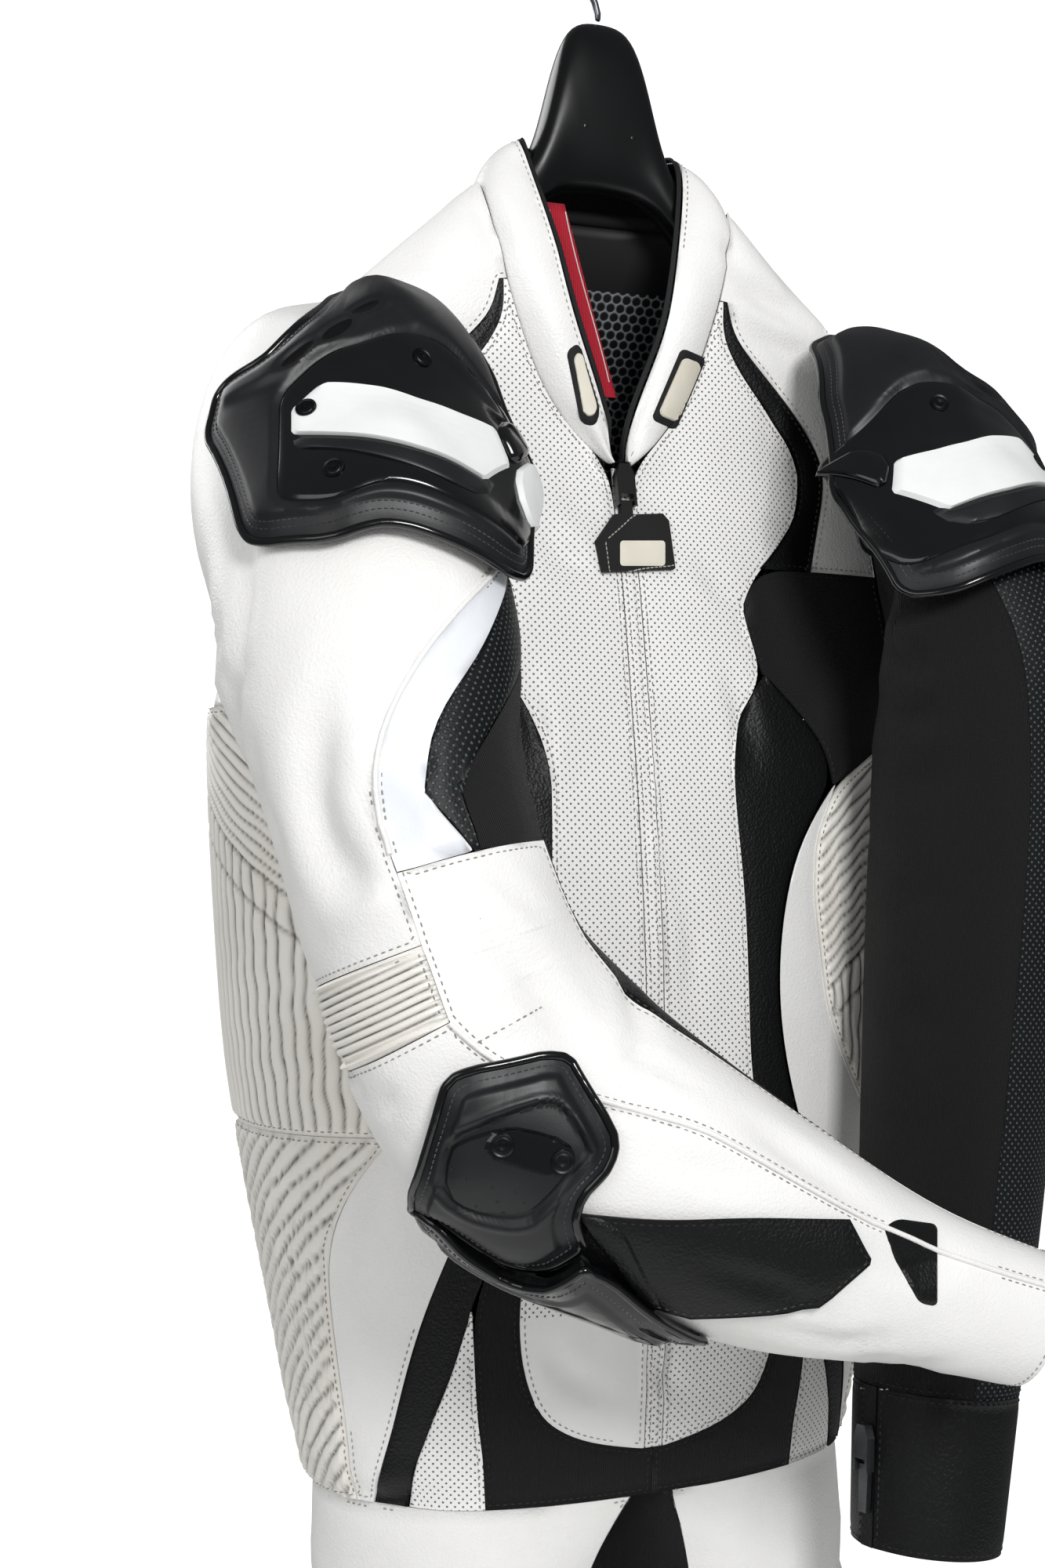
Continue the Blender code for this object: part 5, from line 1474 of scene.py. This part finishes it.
def makeNeckBinding():
    # A folded tape covers the top edge of the lining inside the collar.
    v = bindingValues
    rim = [point for point, _, _ in outerRim(panels["back_lining"])]
    top = max(point.z for point in rim)
    edge = sorted((point for point in rim if point.z > top - v["edge"]), key=lambda point: point.x)
    tube("neck_binding", [point + up * v["lift"] for point in edge], v["radius"], finishes["neoprene"])


hubs = {
    # shell: hub and axis of the right one, in metres
    "shoulder": ((-0.165, -0.045, -0.355), (-0.35, -0.75, 0.55)),
    "elbow": ((-0.105, -0.155, -0.625), (-0.52, -0.80, -0.30)),
}
leftElbow = ((0.172, -0.105, -0.570), (0.85, -0.42, -0.05))

# Marks are millimetres beside and above the chest's centre, on a sheet before the camera.
shoulderMarks = {
    "ledge": ((-208, 214), (-190, 223), (-177, 229), (-155, 245), (-136, 259), (-122, 266), (-116, 267),
              (-112, 264), (-101, 255), (-89, 247)),
    "vents": (((-139, 259), (-124, 266)), ((-155, 245), (-139, 256)), ((-177, 230), (-160, 244))),
    "basin": ((-181, 216), (-157, 239), (-136, 247), (-117, 252), (-100, 252), (-89, 247), (-78, 238),
              (-65, 222), (-54, 208), (-41, 188), (-36, 160), (-35, 137), (-41, 128), (-53, 141), (-77, 155),
              (-100, 165), (-115, 168), (-126, 167), (-140, 161), (-152, 156), (-178, 156), (-182, 160)),
    "inset": ((-174, 208), (-157, 223), (-141, 223), (-124, 221), (-100, 214), (-79, 206), (-57, 196),
              (-49, 176), (-63, 168), (-79, 178), (-100, 186), (-124, 192), (-151, 194), (-174, 194)),
    "band": ((-174, 193), (-151, 193), (-124, 191), (-100, 185), (-79, 177), (-63, 167), (-51, 174),
             (-62, 158), (-77, 164), (-89, 170), (-106, 177), (-124, 182), (-141, 185), (-160, 187),
             (-173, 186)),
    "facet": ((-57, 197), (-53, 203), (-39, 182), (-47, 176)),
    "paleFacet": ((-47, 173), (-39, 179), (-33, 167), (-33, 152), (-36, 136), (-43, 152)),
    "screws": ((-99, 238), (-164, 208), (-149, 176)),
}
elbowMarks = {
    "frame": ((-88, -194), (-57, -181), (-29, -172), (-18, -178), (-4, -201), (-5, -209), (-30, -238),
              (-42, -248), (-67, -245), (-80, -239), (-94, -226), (-94, -222)),
    "plate": ((-87, -205), (-80, -198), (-57, -191), (-43, -191), (-19, -198), (-13, -209), (-17, -215),
              (-30, -231), (-43, -241), (-74, -239), (-89, -228)),
    "lobe": ((-68, -206), (-64, -194), (-54, -191), (-42, -191), (-19, -198), (-13, -209), (-24, -220)),
    "screws": ((-55, -200), (-22, -209)),
    "pimples": ((-84, -214), (-75, -220), (-61, -224), (-48, -227), (-86, -229), (-70, -235), (-58, -232),
                (-43, -233), (-55, -239)),
    "keel": ((-102, -247), (-91, -256), (-63, -285), (-47, -289), (-20, -284), (-9, -295), (32, -319)),
    "keelScrew": ((-51, -288),),
}
shellValues = {
    "bead": 2.2, "beadDrop": 2.3,             # radius, and how far its middle lies below the dome
    "flange": 8.2, "flangeDrop": 2.0,         # the sewn edge and how far it lies below the shell
    "rows": (4.4, 6.9),                       # rows of stitches, from the edge
    "pitch": 2.9 * mm,
    "ledge": (3.2, 13, 3.6),                  # height, then its width on the slow and on the steep side
    "vent": (2.6, 2.6, (0.5, 1.7)),           # depth, half width, and its edge as shares of the half width
    "slot": 1.7,                              # half the width of the dark slot in it, in degrees
    "basin": (2.6, (-2.4, 1.0), 0.9),         # depth, the place of its edge, and how far its plate is dished
    "frame": (1.1, 1.5, 3.0, (0.6, 3.2)),     # ridge, its width, the depth inside it, where that starts
    "keel": (1.6, 3.0, 2.6, (0.5, 9)),        # ridge, its width, the step below it, where that lies
}


def dished(spots, gaps):
    return -shellValues["basin"][2] * ease(gaps, 2.5, 12)


shoulderPads = {
    # part: finish; lift, height and rounded edge in mm; and how finely it is made
    "basin": ("gloss", (-2.6, 1.5, 2.0), {"rings": 30, "count": 260, "relief": dished}),
    "inset": ("insetWhite", (-2.2, 2.4, 0.9), {"rings": 16, "count": 240, "passes": 1, "reach": 1.0}),
    "band": ("shell", (-2.2, 2.0, 1.6), {"rings": 10, "count": 200, "passes": 1}),
    "facet": ("gloss", (-2.2, 3.4, 3.5), {"count": 60, "passes": 1}),
}


def flangeStep(gaps):
    v = shellValues
    return -v["flangeDrop"] * (1 - ease(gaps, v["flange"] - 0.6, v["flange"] + 1.6))


def shoulderRelief(basin, ledge, vents):
    v = shellValues

    def ventShare(spots, vent):
        # 0 in the middle of a vent, 1 on its edge.
        middle, half = vent.mean(axis=0), (vent[1] - vent[0]) / 2
        length = np.linalg.norm(half)
        along = (spots - middle) @ half / length ** 2
        over = ((spots - middle) @ np.array((-half[1], half[0])) / length) * degreeSize / v["vent"][1]
        return np.hypot(along, over)

    def relief(spots, gaps):
        rise = flangeStep(gaps)
        away, share = offLine(spots, ledge)
        fade = np.sin(math.pi * np.clip(share * 0.86 + 0.1, 0, 1)) ** 0.5 * ease(gaps, 6, 14)
        height, slow, steep = v["ledge"]
        rise += height * fade * np.where(away > 0, np.exp(-(away / slow) ** 2), np.exp(-(away / steep) ** 2))
        rise -= v["basin"][0] * ease(inside(spots, basin) * degreeSize, *v["basin"][1]) * ease(gaps, 7, 10)
        for vent in vents:
            rise -= v["vent"][0] * (1 - ease(ventShare(spots, vent), *v["vent"][2]))
        return rise

    return relief


def makeShell(name, dome, rim, finish, relief, rows, **settings):
    # A shell over the rim of its CAD node, with a glossy bead round its edge and rows of stitches inside it.
    v = shellValues
    shell = domePad(name, dome, rim, finish, 0, 0.0, 1.0, relief=relief, **settings)
    bead = [onDome(dome, spot, -v["beadDrop"]) for spot in insetRow(rim, 0, count=360)]
    tube(f"{name}_bead", bead, v["bead"] * mm, finishes["gloss"], closed=True)
    tree = treeOf(shell)
    for gap in v["rows"][:rows]:
        spots = insetRow(rim, gap)
        sewLine(dropOnto(tree, dome, np.vstack([spots, spots[:1]])), "armourThread", v["pitch"])
    return shell, tree


def placeOn(tree, dome, source, name, spots, lift):
    # Copies of a small piece, numbered, on spots of a finished surface.
    for k, (spot, normal) in enumerate(dropOnto(tree, dome, spots)):
        placeCopy(source, f"{name}_{k + 1}", spot, normal, lift)


def makeShoulder(title, side):
    hub, axis = hubs["shoulder"]
    flip = np.array((-side, 1, 1))
    home = makeDome("shoulder_cup_right", hub, axis)
    dome = home if side < 0 else makeDome("shoulder_cup_left", np.array(hub) * flip, np.array(axis) * flip)
    rim = shellRim(f"shoulder_cup_{title}", dome)
    marked = {name: markedOn(home, marks, side) for name, marks in shoulderMarks.items() if name != "vents"}
    vents = [markedOn(home, marks, side) for marks in shoulderMarks["vents"]]
    ledge = marked["ledge"] if side < 0 else marked["ledge"][::-1]
    basin = spaced(rounded(marked["basin"], 2), 120)
    shell, surface = makeShell(f"shoulder_shell_{title}", dome, rim, finishes["shell"],
                               shoulderRelief(basin, ledge, vents), 2, rings=56, count=380, skirt=5.5)
    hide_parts(f"shoulder_cup_{title}")
    # Painted shade: a near-black oval lies in each vent's dip for its dark slot.
    for k, vent in enumerate(vents):
        half = (vent[1] - vent[0]) / 2
        over = np.array((-half[1], half[0])) / np.linalg.norm(half) * shellValues["slot"]
        oval = [vent.mean(axis=0) + half * math.cos(turn) + over * math.sin(turn)
                for turn in np.linspace(0, 2 * math.pi, 24, endpoint=False)]
        makePad(f"shoulder_vent_{title}_{k + 1}", seatOn(surface, dome), degreeSize, oval,
                finishes["slotShade"], 0.25, 0.6, rings=5, count=48, passes=0)
    pads = [domePad(f"shoulder_{part}_{title}", dome, marked[part], finishes[finish], *sizes, **settings)
            for part, (finish, sizes, settings) in shoulderPads.items()]
    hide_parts(f"shoulder_plate_{title}")
    if side < 0:
        domePad("shoulder_pale_facet", dome, marked["paleFacet"], finishes["insetWhite"], -1.6, 2.2, 1.4,
                count=60, passes=1)
    placeOn(treeOf(shell, *pads[:3]), dome, screw, f"shoulder_screw_{title}", marked["screws"], 0.1 * mm)


def makeElbow(title, side, home):
    # home is the right elbow's dome, on which the marks are read.
    hub, axis = hubs["elbow"] if side < 0 else leftElbow
    dome = makeDome(f"elbow_cup_{title}", hub, axis)
    rim = shellRim(f"elbow_cup_{title}", dome)
    marked = {name: markedOn(home, marks, side) for name, marks in elbowMarks.items()}
    if side > 0:
        shift = rim.mean(axis=0) - shellRim("elbow_cup_right", home).mean(axis=0) * (-1, 1)
        marked = {name: spots + shift for name, spots in marked.items()}
    sliderRim = shellRim(f"elbow_slider_{title}", dome)
    rim = meet(rim, sliderRim, 0.5)
    frame = spaced(rounded(marked["frame"], 2), 120)

    def relief(spots, gaps):
        ridge, width, drop, place = shellValues["frame"]
        depth = inside(spots, frame) * degreeSize
        return flangeStep(gaps) + ridge * np.exp(-((depth + 0.4) / width) ** 2) - drop * ease(depth, *place)

    shell, _ = makeShell(f"elbow_shell_{title}", dome, rim, finishes["shell"], relief, 1, rings=44, count=300,
                         skirt=5.5)
    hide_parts(f"elbow_cup_{title}")
    plate = domePad(f"elbow_hexagon_{title}", dome, marked["plate"], finishes["shell"], -3.0, 2.0, 1.2,
                    rings=14, count=160, passes=1)
    if side < 0:
        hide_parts("elbow_plate_right")
    lobe = domePad(f"elbow_lobe_{title}", dome, marked["lobe"], finishes["gloss"], -1.6, 1.7, 1.3, rings=8,
                   count=120, passes=1)
    tree = treeOf(plate, lobe)
    for part, source, lift in (("screw", screw, 0.2 * mm), ("pimple", pimple, 0)):
        placeOn(tree, dome, source, f"elbow_{part}_{title}", marked[f"{part}s"], lift)
    makeSlider(title, side, hub, axis, marked)


def makeSlider(title, side, hub, axis, marked):
    node = f"elbow_slider_{title}"
    dome = makeDome(node, hub, axis)
    rim = meet(shellRim(node, dome), shellRim(f"elbow_cup_{title}", dome), 0.62)
    keel = marked["keel"] if side < 0 else marked["keel"][::-1]

    def relief(spots, gaps):
        ridge, width, drop, place = shellValues["keel"]
        away, _ = offLine(spots, keel)
        rise = (ridge * np.exp(-(away / width) ** 2) - drop * ease(-away, *place)) * ease(gaps, 2, 8)
        return flangeStep(gaps) * 0.8 + rise

    shell, tree = makeShell(f"{node}_shell", dome, rim, finishes["gloss"], relief, 1, rings=36, count=300,
                            skirt=8.0)
    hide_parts(node)
    for spot, normal in dropOnto(tree, dome, marked["keelScrew"]):
        placeCopy(screw, f"{node}_screw", spot, normal, 0.1 * mm)


def makePimple():
    deselectAll()
    bpy.ops.mesh.primitive_uv_sphere_add(segments=12, ring_count=8, radius=0.7 * mm)
    bead = modelled("pimple", finishes["shell"])
    bpy.ops.object.mode_set(mode="EDIT")
    bpy.ops.mesh.select_all(action="SELECT")
    bpy.ops.transform.resize(value=(1, 1, 0.6))
    bpy.ops.object.mode_set(mode="OBJECT")
    bead.data.shade_smooth()
    return bead


# Stitches are gathered by thread, and each thread becomes one mesh at the end.
stitchValues = {"length": 2.6 * mm, "pitch": 3.9 * mm, "radius": 0.42 * mm, "jump": 8 * mm}
threads = {f"{name}Thread": ([], []) for name in ("white", "grey", "black", "armour", "tab")}


def addStitch(thread, spot, run, normal):
    # A short hump of thread: a triangle in section, with pointed ends in the skin.
    vertices, faces = threads[thread]
    side = run.cross(normal).normalized()
    half, radius = stitchValues["length"] / 2, stitchValues["radius"]
    start = len(vertices)
    vertices.append(spot - run * half - normal * radius * 0.6)
    for share in (-0.55, 0.55):
        middle = spot + run * half * share
        vertices += [middle + normal * radius * 1.1, middle + side * radius - normal * radius * 0.4,
                     middle - side * radius - normal * radius * 0.4]
    vertices.append(spot + run * half - normal * radius * 0.6)
    for k in range(3):
        after = (k + 1) % 3
        faces.append((start, start + 1 + after, start + 1 + k))
        faces.append((start + 1 + k, start + 1 + after, start + 4 + after, start + 4 + k))
        faces.append((start + 4 + k, start + 4 + after, start + 7))


def sewLine(line, thread, pitch=None):
    # Stitches spaced evenly along (point, normal) pairs, with gaps wherever the line jumps.
    pitch = pitch or stitchValues["pitch"]
    left = pitch / 2
    for (a, na), (b, _) in zip(line, line[1:]):
        step = (b - a).length
        if step > stitchValues["jump"] or step < 1e-7:
            left = pitch / 2
            continue
        run = (b - a) / step
        while left <= step:
            addStitch(thread, a + run * left, run, na)
            left += pitch
        left -= step


def makeThreads():
    for thread, (vertices, faces) in threads.items():
        if vertices:
            onTab = thread == "tabThread"
            finish = finishes["whiteThread" if onTab else thread]
            sewing = newMesh(f"{thread}_sewing", vertices, faces, finish, smooth=False)
            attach(sewing, "front_zip_pull" if onTab else suitBody)
            print(thread, len(faces), "faces")


def outerRim(panel):
    # The outer side's edge as a closed run of (point, normal, way in).
    mesh = panel.data
    sides = {}
    for polygon in mesh.polygons:
        for key in polygon.edge_keys:
            sides.setdefault(key, []).append(polygon.index)
    following = {}
    for polygon in mesh.polygons:
        if polygon.material_index != outerSide:
            continue
        corners = list(polygon.vertices)
        for a, b in zip(corners, corners[1:] + corners[:1]):
            pair = sides[(min(a, b), max(a, b))]
            if any(mesh.polygons[k].material_index == rimSide for k in pair):
                following[a] = (b, polygon.index)
    chains = []
    while following:
        start = next(iter(following))
        chain, here = [], start
        while here in following:
            there, face = following.pop(here)
            point, normal = mesh.vertices[here].co.copy(), mesh.polygons[face].normal.copy()
            run = mesh.vertices[there].co - point
            chain.append((point, normal, normal.cross(run).normalized()))
            here = there
        chains.append(chain)
    return max(chains, key=len)


def sewEdge(panel, gap, thread):
    # One row of stitches this far inside a panel's edge.
    rim = outerRim(panel)
    tree = sideTree(panel.data, outerSide)
    corners = pointTree([point for point, _, _ in rim])
    line = []
    for point, normal, way in rim + rim[:1]:
        spot, normal, _, _ = tree.find_nearest(point + way * gap)
        if corners.find(spot)[2] > gap * 0.82:
            line.append((spot + normal * 0.1 * mm, normal))
    sewLine(line, thread)


def seamLine(first, second, reach=1.6 * mm):
    # The part of one panel's rim that runs beside another panel, in order.
    rim = outerRim(panels[first])
    other = pointTree([point for point, _, _ in outerRim(panels[second])])
    near = [other.find(point)[2] < reach for point, _, _ in rim]
    if all(near):
        return [(point, normal) for point, normal, _ in rim]
    start = next(k for k in range(len(rim)) if near[k] and not near[k - 1])
    line = []
    while near[start % len(rim)] and len(line) < len(rim):
        line.append(rim[start % len(rim)][:2])
        start += 1
    return line


def makePiping(name, first, second, radius, finish):
    tube(name, [point + normal * radius * 0.35 for point, normal in seamLine(first, second)], radius, finish)


stitched = {
    # finish of a panel: its thread and how far in millimetres the row lies inside the edge
    "white": ("greyThread", 2.6), "whiteRibbed": ("greyThread", 2.6), "whitePunched": ("greyThread", 2.6),
    "pearl": ("greyThread", 2.6), "black": ("blackThread", 2.6), "blackPunched": ("blackThread", 2.6),
    "knit": ("blackThread", 2.4),
}
for name, panel in panels.items():
    outside = panelFinishes[kindOf(name, panelFinishes)][0]
    if outside in stitched:
        thread, gap = stitched[outside]
        sewEdge(panel, gap * mm, thread)

pipings = {"right_sleeve_outer": "right_sleeve_pearl", "right_forearm": "right_forearm_crook"}
for first, second in pipings.items():
    makePiping(f"piping_{first}", first, second, 1.3 * mm, finishes["white"])
screw, pimple = makeScrew(), makePimple()
makeShoulder("right", -1)
makeShoulder("left", 1)
rightElbow = makeDome("elbow_cup_right", *hubs["elbow"])
makeElbow("right", -1, rightElbow)
makeElbow("left", 1, rightElbow)
for tool in (screw, pimple):
    bpy.data.objects.remove(tool)
print("armour made")
makeHangerHoles(smoothCopy("hanger_body", finishes["hanger"]))
smoothCopy("hanger_hook", finishes["steel"], levels=1)
makePatches()
sewRows()
finishTab()
makeLoopEdges()
makeNeckBinding()
print("trimmings made")
makeThreads()
print("panels sewn")
